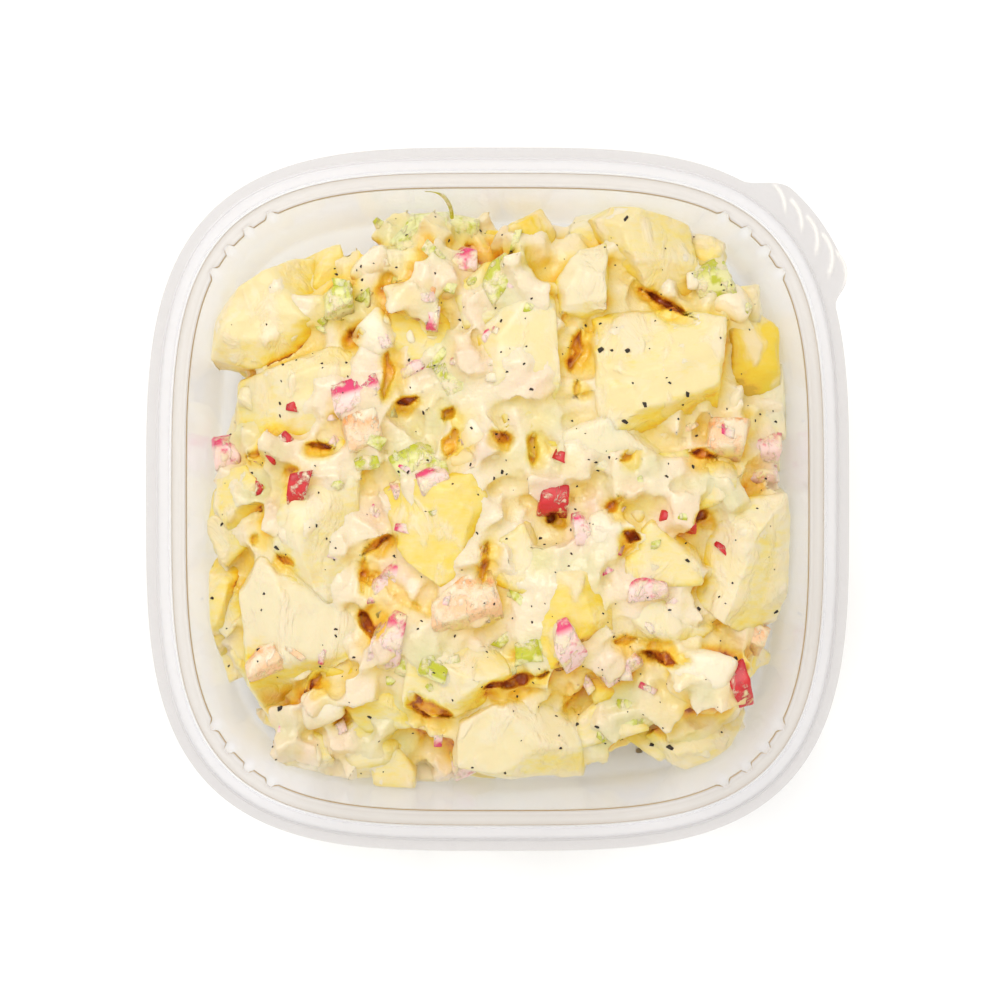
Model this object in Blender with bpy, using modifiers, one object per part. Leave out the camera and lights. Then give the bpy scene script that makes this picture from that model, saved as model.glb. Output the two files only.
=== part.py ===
# Potato salad in the clear square tub that holds it, with its lid off.
# The tub is one thin formed sheet: a flange with a pull tab, a raised bead, a ledge for the lid,
# a sloping wall with stacking lugs at its corners, and a flat base.
# The salad is one heap: a lumpy core with its chunks of potato, egg, celery, onion, pepper and carrot fused on.
# Metres, +Z up. The origin is the middle of the base, on the surface that the tub stands on.
# +X is to the right and +Y is to the back, so the tab is at the back right corner.

import random
from math import atan2, cos, degrees, pi, radians, sin, tan

import bmesh
import bpy
from mathutils import Matrix, Vector, noise

MM = 0.001

# Driving dimensions of the tub
SIDE = 140 * MM  # across the flange
HEIGHT = 46 * MM
SHEET = 0.6 * MM
ROUNDNESS = 3.42  # exponent of the plan: 2 is a circle, and a large one is a square
FLANGE_WIDTH = 2.0 * MM
FLANGE_DROP = 1.6 * MM  # below the top of the bead
BEAD_WIDTH = 3.0 * MM
BEAD_SLOPE = 0.5 * MM
LEDGE_DROP = 2.8 * MM
LEDGE_INNER = 8.0 * MM  # from the flange's outer edge to the top of the wall
WALL_DRAFT = radians(8)
BASE_ROUND = 4.0 * MM
LUG_ANGLES = (-7.35, -2.45, 2.45, 7.35)  # flutes between the stacking lugs, in degrees from each corner's middle
LUG_DEPTH = 1.0 * MM
LUG_HEIGHT = 8.0 * MM
LUG_HALF_MOUTH, LUG_HALF_FLAT = 1.25, 0.75  # degrees
TAB_REACH = 4.3 * MM
TAB_START, TAB_FULL, TAB_LEAVE, TAB_END = 29.6, 33.8, 46.4, 52.6  # degrees from +X

# Driving dimensions of the salad
GAP = 0.35 * MM  # between the salad and the tub
CORE_TOP = 26 * MM
PIECE_LOW = 1.6 * MM  # no piece reaches lower than this, so that the heap stands on its core
CORE_INSET = 18.5 * MM  # from the flange's outer edge
HEAP_TOP = 40 * MM
PLAN_SLACK = 0.5 * MM  # the inset contour is found along a ray, so it is a little less than square to the wall

# The pieces that show, each as x, y, top, width, length, thickness, turn and lean: millimetres and degrees.
# A turn is about +Z, and a lean then lowers the side that faces the viewer of a front view.
POTATO_BLOCKS = (
    (32, 23, 40, 24, 26, 18, -4, 3),
    (-38, 21, 34, 27, 17, 16, 12, 8),
    (-36, -4, 37, 18, 31, 18, 8, 4),
    (-39, -28, 33, 25, 26, 17, -18, -6),
    (-54, -19, 25, 9, 18, 12, -12, 0),
    (-24, -40, 31, 15, 16, 14, 10, 10),
    (-26, -49, 25, 19, 12, 15, -6, 12),
    (4, -45, 32, 24, 18, 18, -4, 8),
    (38, -48, 22, 20, 13, 14, 24, 12),
    (-10, -4, 38, 20, 19, 17, 14, 14),
    (13, -21, 38, 22, 20, 18, -4, 2),
    (32, 47, 33, 14, 20, 16, 8, 6),
    (48, -4, 34, 19, 20, 17, -8, 0),
    (48, -18, 30, 15, 13, 15, 10, 6),
    (39, -23, 34, 18, 13, 14, 14, 8),
    (5, 28, 39, 16, 24, 16, 3, 3),
    (50, 28, 29, 13, 19, 15, -20, 10),
    (53, 19, 26, 9, 14, 12, 6, 0),
    (6, 51, 23, 12, 10, 12, -20, 6),
    (20, -45, 23, 13, 11, 12, 18, 6),
    (-50, 0, 29, 12, 14, 13, 12, 0),
    (-54, -6, 25, 9, 9, 10, 30, 0),
    (21, 12, 37, 20, 13, 14, -8, 4),
    (41, 5, 34, 15, 12, 14, 12, 0),
    (32, -11, 35, 14, 15, 14, 8, 4),
    (4, -12, 35, 13, 15, 14, -12, 0),
    (-14, 34, 36, 17, 13, 14, -14, 4),
    (-1, 42, 36, 15, 12, 14, 8, 0),
    (9, 13, 36, 13, 14, 13, 16, 4),
    (-19, -13, 29, 11, 12, 12, 10, 0),
    (-30, -36, 29, 12, 11, 12, -20, 6),
    (25, -37, 28, 14, 11, 12, 12, 4),
    (-53, -31, 18, 8, 10, 10, 16, 0),
)
POTATO_WEDGES = (
    (-44, 37, 31, 30, 19, 14, 20, 6),
    (-7, -34, 36, 26, 17, 12, 188, -4),
    (21, 47, 34, 15, 18, 15, 70, 4),
    (-16, -53, 18, 14, 9, 10, 180, 0),
)
EGG_BLOCKS = (
    (-24, 33, 37, 9, 8, 6, -30, 0),
    (-38, -51, 27, 7, 8, 9, -12, 8),
    (-35, -42, 31, 10, 7, 7, 24, 10),
    (41, -36, 33, 13, 11, 9, -30, 8),
    (17, 27, 33, 5, 8, 8, -12, 0),
    (-4, 12, 38, 13, 12, 10, 14, 4),
    (48, 39, 29, 9, 7, 7, -24, 0),
    (47, 18, 31, 5, 10, 8, -10, 0),
    (22, -7, 37, 6, 8, 7, 10, 0),
)
CELERY_BLOCKS = (
    (-32, 40, 34, 5, 7, 7, 2, 0),
    (-28, 39, 33, 4, 7, 7, 0, 0),
    (44, 44, 29, 8, 9, 8, 20, 8),
    (-15, -31, 36, 9, 11, 7, -24, 8),
    (9, -31, 36, 10, 8, 7, -8, 6),
    (29, -43, 28, 10, 10, 8, 8, 8),
    (-15, 7, 37, 10, 10, 8, 22, 4),
    (1, 44, 38, 9, 8, 6, 36, 0),
    (27, 2, 37, 6, 8, 7, 12, 0),
    (-15, 51, 31, 11, 12, 10, 10, 6),
    (-8, 55, 27, 9, 6, 8, -14, 0),
    (-19, 53, 28, 7, 8, 8, 24, 0),
    (17, 39, 38, 11, 18, 12, -8, 4),
    (-12, 20, 34, 13, 12, 10, -24, 6),
)
ONION_BLOCKS = (
    (-7, 47, 35, 6, 7, 5, -8, 6),
    (-13, 4, 39, 7, 5, 5, 26, 6),
    (14, -29, 39, 5, 10, 4, 24, 12),
    (-22, -28, 35, 6, 12, 5, -14, 6),
    (-24, -3, 32, 6, 8, 5, 8, 10),
    (17, -6, 37, 4, 7, 5, 12, 0),
    (-43, -48, 28, 4, 9, 6, -6, 6),
    (-7, -53, 23, 5, 9, 4, 12, 16),
    (-28, 20, 37, 10, 7, 5, 16, 4),
    (24, -33, 33, 9, 7, 5, 36, 8),
    (54, 10, 27, 7, 7, 6, -4, 0),
    (53, 5, 25, 8, 4, 5, 8, 0),
    (30, -18, 36, 9, 5, 5, 10, 6),
    (-19, 25, 35, 10, 6, 5, 26, 6),
    (-20, -16, 34, 10, 8, 7, 16, 8),
    (-55, 9, 25, 6, 7, 5, 10, 0),
)
PEPPER_BLOCKS = (
    (-40, 2, 38, 4, 7, 3, -14, 8),
    (-44, 10, 34, 7, 5, 4, 36, 6),
    (36, -4, 36, 8, 4, 4, -20, 6),
    (48, -37, 32, 3, 9, 5, 16, 0),
    (11, 0, 37, 6, 7, 4, -12, 0),
)
CARROT_BLOCKS = (
    (46, 12, 34, 8, 8, 7, -8, 4),
    (-27, 13, 34, 8, 9, 8, 14, 8),
    (-17, 40, 37, 8, 8, 6, -24, 4),
    (-6, -21, 38, 13, 12, 10, 8, 4),
    (-47, -33, 33, 7, 6, 5, 20, 0),
    (51, -28, 27, 7, 6, 6, -30, 0),
)
SIDE_LAYERS = ((8.5, 22, 12), (19.5, 20, 10))  # height of the middle, number round the heap, size
SIDE_BITE = 0.42  # share of a side piece that lies within the contour that it touches
BLOCK_BEVEL = 0.13  # share of a block's side
SMALLEST_BEVELLED = 15 * MM
MOST_MOVES = 6  # that bring a piece clear of the tub
CORNER_MOVE = 1.5 * MM  # how far a single corner may be pressed in
JITTER = 0.09  # share of a block's side by which each corner wanders
SEED = 17


def remove_everything():
    for thing in list(bpy.data.objects):
        bpy.data.objects.remove(thing, do_unlink=True)


def collection_named(name):
    collection = bpy.data.collections.new(name)
    bpy.context.scene.collection.children.link(collection)
    return collection


def material(name, colour, roughness, alpha=1.0):
    made = bpy.data.materials.new(name)
    made.use_nodes = True
    shader = made.node_tree.nodes["Principled BSDF"]
    shader.inputs["Base Color"].default_value = (*colour, 1)
    shader.inputs["Roughness"].default_value = roughness
    shader.inputs["Metallic"].default_value = 0
    shader.inputs["Alpha"].default_value = alpha
    made.diffuse_color = (*colour, alpha)
    return made


def object_from(bm, name, collection):
    mesh = bpy.data.meshes.new(name)
    bm.to_mesh(mesh)
    bm.free()
    made = bpy.data.objects.new(name, mesh)
    collection.objects.link(made)
    return made


def smooth_step(value):
    value = min(1.0, max(0.0, value))
    return value * value * (3 - 2 * value)


# Plan of the tub: a rounded square and the contours inside it

def plan_point(angle):
    """The flange's outer edge at this angle from +X, as a point and the unit normal that faces out."""
    across, along = cos(angle), sin(angle)
    reach = (SIDE / 2) / (abs(across) ** ROUNDNESS + abs(along) ** ROUNDNESS) ** (1 / ROUNDNESS)
    normal = Vector((
        abs(across) ** (ROUNDNESS - 1) * (1 if across > 0 else -1),
        abs(along) ** (ROUNDNESS - 1) * (1 if along > 0 else -1),
        0,
    )).normalized()
    return Vector((across * reach, along * reach, 0)), normal


def reach_at(angle, inset):
    """How far from the middle a contour lies that runs this far inside the flange's outer edge."""
    edge, normal = plan_point(angle)
    return edge.length - (inset + PLAN_SLACK) / normal.dot(edge.normalized())


def flute(angle):
    """1 in the flutes between the stacking lugs, 0 elsewhere."""
    from_corner = degrees(angle) % 90 - 45
    nearest = min(abs(from_corner - lug) for lug in LUG_ANGLES)
    return smooth_step((LUG_HALF_MOUTH - nearest) / (LUG_HALF_MOUTH - LUG_HALF_FLAT))


def tab(angle):
    """1 along the pull tab's outer edge, 0 off the tab."""
    turned = degrees(angle) % 360
    rise = smooth_step((turned - TAB_START) / (TAB_FULL - TAB_START))
    fall = smooth_step((turned - TAB_LEAVE) / (TAB_END - TAB_LEAVE))
    return rise * (1 - fall)


def wall_inset(height):
    """How far inside the flange's outer edge the wall stands at this height."""
    ledge = HEIGHT - LEDGE_DROP
    foot = SHEET + BASE_ROUND
    if height >= foot:
        return LEDGE_INNER + (ledge - height) * tan(WALL_DRAFT)
    corner = LEDGE_INNER + (ledge - foot) * tan(WALL_DRAFT)
    below = min(1.0, (foot - height) / BASE_ROUND)
    return corner + BASE_ROUND * (1 - (1 - below * below) ** 0.5)


def tub_profile():
    """Each contour from the flange in to the base, as inset, height, share of the flutes and share of the tab."""
    ledge = HEIGHT - LEDGE_DROP
    flange = HEIGHT - FLANGE_DROP
    bead_out = FLANGE_WIDTH + BEAD_SLOPE
    bead_in = FLANGE_WIDTH + BEAD_WIDTH - BEAD_SLOPE
    contours = [
        (0.0, flange, 0, 1),
        (FLANGE_WIDTH, flange, 0, 0),
        (bead_out, HEIGHT, 0, 0),
        (bead_in, HEIGHT, 0, 0),
        (FLANGE_WIDTH + BEAD_WIDTH + 0.1 * MM, ledge, 0, 0),
        (LEDGE_INNER, ledge, 1, 0),
        (wall_inset(ledge - LUG_HEIGHT), ledge - LUG_HEIGHT, 0, 0),
    ]
    for below in (0.0, 0.7, 1.0):
        height = SHEET + BASE_ROUND * (1 - below)
        contours.append((wall_inset(height), height, 0, 0))
    return contours


def plan_angles():
    """Angles of the plan's points: close together at the lugs and the tab, and wide apart along the sides."""
    steps = set()
    for corner in (45, 135, 225, 315):
        steps.update(corner + step for step in (-45, -37.5, -30, -22.5, -16, -11, 11, 16, 22.5, 30, 37.5))
        for lug in LUG_ANGLES:
            steps.update(corner + lug + side for side in
                         (-LUG_HALF_MOUTH, -LUG_HALF_FLAT, LUG_HALF_FLAT, LUG_HALF_MOUTH))
    steps.update((TAB_START + 1.4, TAB_START + 2.8, TAB_FULL + 0.6))
    return [radians(step) for step in sorted(steps)]


def make_tub(collection):
    bm = bmesh.new()
    angles = plan_angles()
    rings = []
    for inset, height, fluted, tabbed in tub_profile():
        ring = []
        for angle in angles:
            edge, normal = plan_point(angle)
            out = LUG_DEPTH * fluted * flute(angle) + TAB_REACH * tabbed * tab(angle) - inset
            ring.append(bm.verts.new(edge + normal * out + Vector((0, 0, height))))
        rings.append(ring)
    for outer, inner in zip(rings, rings[1:]):
        for i in range(len(angles)):
            j = (i + 1) % len(angles)
            bm.faces.new((outer[i], outer[j], inner[j], inner[i]))
    bm.faces.new(rings[-1])
    tub = object_from(bm, "container", collection)
    shell = tub.modifiers.new("sheet", "SOLIDIFY")
    shell.thickness = SHEET
    shell.offset = -1
    shell.use_even_offset = True
    tub.data.materials.append(material("clear plastic", (0.93, 0.93, 0.92), 0.1, 0.35))
    return tub


# Pieces of the salad

def step_inside(point, low):
    """The move that brings this point clear of the tub and under the heap's greatest height."""
    height = min(HEAP_TOP, max(low, point.z))
    limit = reach_at(atan2(point.y, point.x), wall_inset(height - GAP) + GAP)
    flat = Vector((point.x, point.y, 0))
    move = flat * min(0.0, limit / flat.length - 1)
    move.z = height - point.z
    return move


def keep_inside(bm, low):
    """Moves a piece that is well into the tub's wall as a whole, and then each corner that is still outside."""
    for _ in range(MOST_MOVES):
        worst = max((step_inside(vertex.co, low) for vertex in bm.verts), key=lambda move: move.length)
        if worst.length > CORNER_MOVE:
            bmesh.ops.translate(bm, vec=worst * (1 - CORNER_MOVE / worst.length), verts=bm.verts)
    for vertex in bm.verts:
        vertex.co += step_inside(vertex.co, low)


def block(bm, width, length, thickness):
    bmesh.ops.create_cube(bm, size=1)
    if min(width, length) >= SMALLEST_BEVELLED:
        bmesh.ops.bevel(bm, geom=list(bm.edges), offset=BLOCK_BEVEL, segments=1, affect="EDGES")
    bmesh.ops.scale(bm, vec=(width, length, thickness), verts=bm.verts)


def half_moon(bm, width, length, thickness):
    """A slice of a round potato, cut along its middle: straight on the -Y side and round on the +Y side."""
    bmesh.ops.create_cone(bm, cap_ends=True, segments=14, radius1=0.5, radius2=0.44, depth=1)
    cut = bmesh.ops.bisect_plane(
        bm, geom=bm.verts[:] + bm.edges[:] + bm.faces[:],
        plane_co=(0, 0, 0), plane_no=(0, -1, 0), clear_outer=True,
    )
    bmesh.ops.contextual_create(bm, geom=[e for e in cut["geom_cut"] if isinstance(e, bmesh.types.BMEdge)])
    bmesh.ops.translate(bm, vec=(0, -0.25, 0), verts=bm.verts)
    bmesh.ops.scale(bm, vec=(width, 2 * length, thickness), verts=bm.verts)


def add_piece(collection, name, shape, place, draw):
    """One piece, placed by the middle of its plan and the height of its top."""
    x, y, top, width, length, thickness, turn, lean = place
    bm = bmesh.new()
    shape(bm, width * MM, length * MM, thickness * MM)
    wander = JITTER * min(width, length, thickness) * MM
    for vertex in bm.verts:
        vertex.co += Vector([draw.uniform(-wander, wander) for _ in range(3)])
    attitude = Matrix.Rotation(radians(turn), 4, "Z") @ Matrix.Rotation(radians(lean), 4, "X")
    bmesh.ops.transform(bm, matrix=attitude, verts=bm.verts)
    highest = max(vertex.co.z for vertex in bm.verts)
    bmesh.ops.translate(bm, vec=(x * MM, y * MM, top * MM - highest), verts=bm.verts)
    keep_inside(bm, PIECE_LOW + draw.uniform(0, 0.6) * MM)
    bmesh.ops.triangulate(bm, faces=bm.faces[:])
    bmesh.ops.recalc_face_normals(bm, faces=bm.faces[:])
    return object_from(bm, name, collection)


def side_places(draw):
    """Pieces in the lower layers, that press towards the wall all round the heap."""
    places = []
    for middle, count, size in SIDE_LAYERS:
        for i in range(count):
            angle = (i + draw.uniform(-0.25, 0.25)) * 2 * pi / count
            width, length, thickness = (size * draw.uniform(0.8, 1.25) for _ in range(3))
            height = middle + draw.uniform(-1.5, 1.5)
            reach = reach_at(angle, wall_inset(height * MM)) / MM - SIDE_BITE * max(width, length)
            places.append((
                reach * cos(angle), reach * sin(angle), height + thickness / 2,
                width, length, thickness, degrees(angle) + draw.uniform(-30, 30), draw.uniform(-12, 12),
            ))
    return places


def make_core(collection):
    """A low mound that follows the tub's plan, lumpy on top and round its sides."""
    bm = bmesh.new()
    bmesh.ops.create_uvsphere(bm, u_segments=28, v_segments=10, radius=1)
    low = SHEET + GAP
    middle = (CORE_TOP + low) / 2
    for vertex in bm.verts:
        up = vertex.co.z
        angle = atan2(vertex.co.y, vertex.co.x)
        out = min(1.0, Vector((vertex.co.x, vertex.co.y)).length)
        boxy_up = abs(up) ** 0.5 * (1 if up > 0 else -1)
        lump = noise.noise(vertex.co * 3.1)
        reach = reach_at(angle, CORE_INSET + 1.5 * MM * lump) * out ** 0.4
        height = middle + (middle - low) * boxy_up + max(0.0, up) * 2.5 * MM * lump
        vertex.co = (reach * cos(angle), reach * sin(angle), height)
    bmesh.ops.triangulate(bm, faces=bm.faces[:])
    return object_from(bm, "potato_salad", collection)


def islands(bm):
    """The separate shells of a mesh, as lists of faces."""
    left = set(bm.faces)
    while left:
        found, edge = [], [left.pop()]
        while edge:
            face = edge.pop()
            found.append(face)
            for neighbour in {f for e in face.edges for f in e.link_faces} & left:
                left.discard(neighbour)
                edge.append(neighbour)
        yield found


def volume_of(faces):
    return sum(
        face.verts[0].co.dot(face.verts[i].co.cross(face.verts[i + 1].co))
        for face in faces for i in range(1, len(face.verts) - 1)
    ) / 6


def fuse(core, pieces):
    """Joins the pieces to the core, fills what the joining sealed and drops what it left loose."""
    union = core.modifiers.new("fuse", "BOOLEAN")
    union.operation = "UNION"
    union.operand_type = "COLLECTION"
    union.collection = pieces
    union.solver = "EXACT"
    bpy.context.view_layer.update()
    fused = bpy.data.meshes.new_from_object(core.evaluated_get(bpy.context.evaluated_depsgraph_get()))
    core.modifiers.remove(union)
    bm = bmesh.new()
    bm.from_mesh(fused)
    bmesh.ops.triangulate(bm, faces=bm.faces[:])
    shells = sorted(islands(bm), key=volume_of)
    spare = [face for shell in shells[:-1] for face in shell]
    bmesh.ops.delete(bm, geom=spare, context="FACES")
    bm.to_mesh(core.data)
    bm.free()
    bpy.data.meshes.remove(fused)
    for piece in list(pieces.objects):
        bpy.data.objects.remove(piece, do_unlink=True)
    bpy.data.collections.remove(pieces)


def make_salad(collection):
    draw = random.Random(SEED)
    pieces = collection_named("salad pieces")
    kinds = {
        "potato": (block, POTATO_BLOCKS),
        "potato wedge": (half_moon, POTATO_WEDGES),
        "egg": (block, EGG_BLOCKS),
        "celery": (block, CELERY_BLOCKS),
        "onion": (block, ONION_BLOCKS),
        "pepper": (block, PEPPER_BLOCKS),
        "carrot": (block, CARROT_BLOCKS),
        "side": (block, side_places(draw)),
    }
    for kind, (shape, places) in kinds.items():
        for place in places:
            add_piece(pieces, kind, shape, place, draw)
    salad = make_core(collection)
    fuse(salad, pieces)
    salad.data.materials.append(material("potato salad", (0.96, 0.84, 0.54), 0.4))
    return salad


def main():
    remove_everything()
    parts = collection_named("potato salad in its tub")
    tub = make_tub(parts)
    salad = make_salad(parts)
    for thing in (tub, salad):
        thing.data.shade_smooth()
        thing.data.set_sharp_from_angle(angle=radians(35))


main()
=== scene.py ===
# Potato salad in its clear square tub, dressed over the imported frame.
# Metres, +Z up. Seen from above, +X is to the right and +Y is up the picture.

import random
from math import cos, pi, radians, sin, tan

import bpy
import numpy as np
from mathutils import Matrix, Vector, noise
from mathutils.bvhtree import BVHTree


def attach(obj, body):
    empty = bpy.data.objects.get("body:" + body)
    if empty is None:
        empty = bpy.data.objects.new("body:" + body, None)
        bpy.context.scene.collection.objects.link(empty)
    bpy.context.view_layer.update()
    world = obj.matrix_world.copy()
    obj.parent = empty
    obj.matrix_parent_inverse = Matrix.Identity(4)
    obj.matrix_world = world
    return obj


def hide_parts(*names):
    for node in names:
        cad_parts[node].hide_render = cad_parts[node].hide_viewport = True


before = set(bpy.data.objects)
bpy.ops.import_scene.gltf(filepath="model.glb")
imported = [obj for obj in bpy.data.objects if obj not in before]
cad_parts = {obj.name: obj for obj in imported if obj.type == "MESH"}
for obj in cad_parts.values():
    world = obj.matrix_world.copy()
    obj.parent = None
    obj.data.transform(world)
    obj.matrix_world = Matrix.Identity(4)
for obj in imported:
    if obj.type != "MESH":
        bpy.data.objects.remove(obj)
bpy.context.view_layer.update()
mm = 0.001


# Working helpers

def pickNothing():
    if bpy.context.mode != "OBJECT":
        bpy.ops.object.mode_set(mode="OBJECT")
    bpy.ops.object.select_all(action="DESELECT")


def pickOnly(piece):
    pickNothing()
    piece.select_set(True)
    bpy.context.view_layer.objects.active = piece


def startEdit(piece):
    pickOnly(piece)
    bpy.ops.object.mode_set(mode="EDIT")
    bpy.ops.mesh.select_all(action="SELECT")


def endEdit():
    bpy.ops.object.mode_set(mode="OBJECT")


def useModifier(piece, kind, **settings):
    pickOnly(piece)
    added = piece.modifiers.new(kind.lower(), kind)
    for name, value in settings.items():
        setattr(added, name, value)
    bpy.ops.object.modifier_apply(modifier=added.name)


def joinAs(name, group):
    pickNothing()
    for piece in group:
        piece.select_set(True)
    bpy.context.view_layer.objects.active = group[0]
    bpy.ops.object.join()
    joined = bpy.context.active_object
    joined.name = joined.data.name = name
    return joined


def linked(name, data):
    made = bpy.data.objects.new(name, data)
    bpy.context.scene.collection.objects.link(made)
    return made


def discard(group):
    for piece in group:
        bpy.data.objects.remove(piece)


def pointsOf(piece, kind="co"):
    # the place of each vertex, or its normal
    flat = np.empty(len(piece.data.vertices) * 3, np.float32)
    piece.data.vertices.foreach_get(kind, flat)
    return flat.reshape(-1, 3).astype(float)


def setPoints(piece, points):
    piece.data.vertices.foreach_set("co", points.astype(np.float32).ravel())
    piece.data.update()


def paint(piece, name, values):
    # a value or a colour at each vertex, which the finishes read by this name
    values = np.asarray(values, np.float32)
    kind = "FLOAT_COLOR" if values.ndim == 2 else "FLOAT"
    layer = piece.data.attributes.get(name) or piece.data.attributes.new(name, kind, "POINT")
    layer.data.foreach_set("color" if kind == "FLOAT_COLOR" else "value", values.ravel())


def painted(piece, name):
    values = np.empty(len(piece.data.vertices), np.float32)
    piece.data.attributes[name].data.foreach_get("value", values)
    return values


def ease(value):
    value = np.clip(value, 0, 1)
    return value * value * (3 - 2 * value)


def band(values, middle, width):
    # 1 at the middle, and softly down to 0 on both sides of it
    return np.exp(-((values - middle) / width) ** 2)


def bulge(piece, name, size, height, level=0.5):
    # cloudy lumps of this size all over, which swell and dip
    clouds = bpy.data.textures.new(name, "CLOUDS")
    clouds.noise_scale = size
    useModifier(piece, "DISPLACE", texture=clouds, strength=height, mid_level=level, texture_coords="LOCAL")


# Shader maths

class Wire:
    # a node's output that can be reckoned with in plain expressions
    def __init__(self, finish, socket):
        self.finish, self.socket = finish, socket

    def reckon(self, operation, *terms):
        values = {i: term for i, term in enumerate(terms)}
        return self.finish.add("ShaderNodeMath", {"operation": operation}, values)

    def __add__(self, other):
        return self.reckon("ADD", self, other)

    def __sub__(self, other):
        return self.reckon("SUBTRACT", self, other)

    def __rsub__(self, other):
        return self.reckon("SUBTRACT", other, self)

    def __mul__(self, other):
        return self.reckon("MULTIPLY", self, other)

    def clamped(self):
        return self.finish.add("ShaderNodeClamp", {}, {"Value": self})

    def stepped(self, low, high):
        # 0 below low and 1 above high, with a soft way between
        return self.finish.add("ShaderNodeMapRange", {"interpolation_type": "SMOOTHSTEP"},
                               {"Value": self, "From Min": low, "From Max": high})

    __radd__ = __add__
    __rmul__ = __mul__


class Finish:
    def __init__(self, name):
        self.material = bpy.data.materials.new(name)
        self.material.use_nodes = True
        self.tree = self.material.node_tree
        self.tree.nodes.clear()
        self.place = self.add("ShaderNodeTexCoord", {}, {}, "Object")

    def add(self, kind, settings, values, output=0):
        # any node, by its type, its settings and what its sockets hold
        node = self.tree.nodes.new(kind)
        for name, value in settings.items():
            if name == "stops":
                self.fillRamp(node.color_ramp, value)
            else:
                setattr(node, name, value)
        for name, value in values.items():
            if isinstance(value, Wire):
                self.tree.links.new(value.socket, node.inputs[name])
            else:
                node.inputs[name].default_value = value
        return Wire(self, node.outputs[output])

    def fillRamp(self, ramp, stops):
        while len(ramp.elements) > 1:
            ramp.elements.remove(ramp.elements[-1])
        for i, (at, colour) in enumerate(stops):
            stop = ramp.elements[0] if i == 0 else ramp.elements.new(at)
            stop.position = at
            stop.color = (*colour, 1)

    def ramp(self, factor, stops):
        return self.add("ShaderNodeValToRGB", {"stops": stops}, {"Fac": factor})

    def blend(self, factor, first, second, way="MIX"):
        return self.add("ShaderNodeMix", {"data_type": "RGBA", "blend_type": way},
                        {0: factor, 6: first, 7: second}, 2)

    def grain(self, size, detail=3.0, roughness=0.55, shift=(0, 0, 0), stretch=(1, 1, 1), swirl=0.0):
        moved = self.add("ShaderNodeMapping", {},
                         {"Vector": self.place, "Location": shift, "Scale": stretch})
        return self.add("ShaderNodeTexNoise", {},
                        {"Vector": moved, "Scale": 1 / size, "Detail": detail, "Roughness": roughness,
                         "Distortion": swirl})

    def painted(self, name, output="Fac"):
        return self.add("ShaderNodeAttribute", {"attribute_name": name}, {}, output)

    def bumps(self, height, distance, strength=1.0):
        return self.add("ShaderNodeBump", {}, {"Height": height, "Distance": distance, "Strength": strength})

    def shader(self, values):
        return self.add("ShaderNodeBsdfPrincipled", {}, values)

    def wireOut(self, surface):
        node = self.tree.nodes.new("ShaderNodeOutputMaterial")
        self.tree.links.new(surface.socket, node.inputs["Surface"])


# Tub: its plan is a rounded square, and every contour inside runs parallel to it

tub = {
    "side": 140 * mm,
    "height": 46 * mm,
    "sheet": 0.6 * mm,
    "roundness": 3.42,         # 2 is a circle, and a large one is a square
    "flangeWidth": 2.0 * mm,
    "flangeDrop": 1.6 * mm,
    "beadWidth": 3.0 * mm,
    "beadSlope": 0.5 * mm,     # on its outer side; its inner side is steep
    "beadInner": 0.05 * mm,
    "ledgeDrop": 2.8 * mm,
    "ledgeInner": 8.0 * mm,
    "wallDraft": radians(8),
    "baseRound": 4.0 * mm,
    "lugAngles": (-7.35, -2.45, 2.45, 7.35),   # flutes between the lugs, from each corner's middle
    "lugDepth": 0.95 * mm,
    "lugHeight": 8.0 * mm,
    "lugHalfMouth": 1.12,      # degrees
    "lugHalfFlat": 0.62,
    "lugStart": 6.4 * mm,      # the flutes come in from this inset
    "lugRun": 1.4 * mm,
    "tabReach": 4.3 * mm,
    "tabAngles": (29.6, 33.8, 46.4, 52.6),
    "ribAngles": (36.5, 39.6, 42.7, 45.8, 48.9),
    "ribStart": 83.4 * mm,     # from the middle of the tub to each rib's outer end
    "ribBend": 6.9 * mm,
    "ribShift": (4.5 * mm, 5.2 * mm),   # from there to the middle of its bend
    "ribSweep": (-34, 50),     # degrees round that middle
    "ribHeight": 0.35 * mm,
    "ribWidth": 0.33 * mm,
    "stepLine": 0.11 * mm,     # half widths of the brown lines at the bead and at the ledge, a painted refraction of the food
    "topLine": 0.14 * mm,
    "clearTone": (0.88, 0.885, 0.97, 1),
    "frostTone": (0.70, 0.67, 0.65, 1),
    "rimTone": (0.64, 0.56, 0.45, 1),
    # the colour of the painted highlights
    "shineTone": (0.96, 0.91, 0.84, 1),
    # the brown of the painted refraction of the food at the bends
    "lineTone": (0.28, 0.16, 0.02, 1),
    "clearness": (0.972, 0.976, 0.985, 1),     # the share of the light that each face lets through
    "creaseAngle": radians(40),                # sharper bends than this stay crisp
    "around": 560,             # points round each contour
    "crowded": 0.17,           # how much closer they stand at the corners
}


def tubEdge(angle):
    # how far the tub's outline stands from its middle at each angle, and which way it faces there
    across, along = np.cos(angle), np.sin(angle)
    power = tub["roundness"]
    reach = tub["side"] / 2 / (np.abs(across) ** power + np.abs(along) ** power) ** (1 / power)
    normal = np.stack([np.sign(across) * np.abs(across) ** (power - 1),
                       np.sign(along) * np.abs(along) ** (power - 1)], -1)
    normal /= np.linalg.norm(normal, axis=-1, keepdims=True)
    return reach, normal


def wallInset(height):
    # how far inside the flange's outer edge the wall's inner face stands
    ledge = tub["height"] - tub["ledgeDrop"]
    foot = tub["sheet"] + tub["baseRound"]
    slope = tan(tub["wallDraft"])
    below = np.clip((foot - height) / tub["baseRound"], 0, 1)
    curve = tub["baseRound"] * (1 - np.sqrt(1 - below * below))
    return tub["ledgeInner"] + (ledge - np.maximum(height, foot)) * slope + curve


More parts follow.
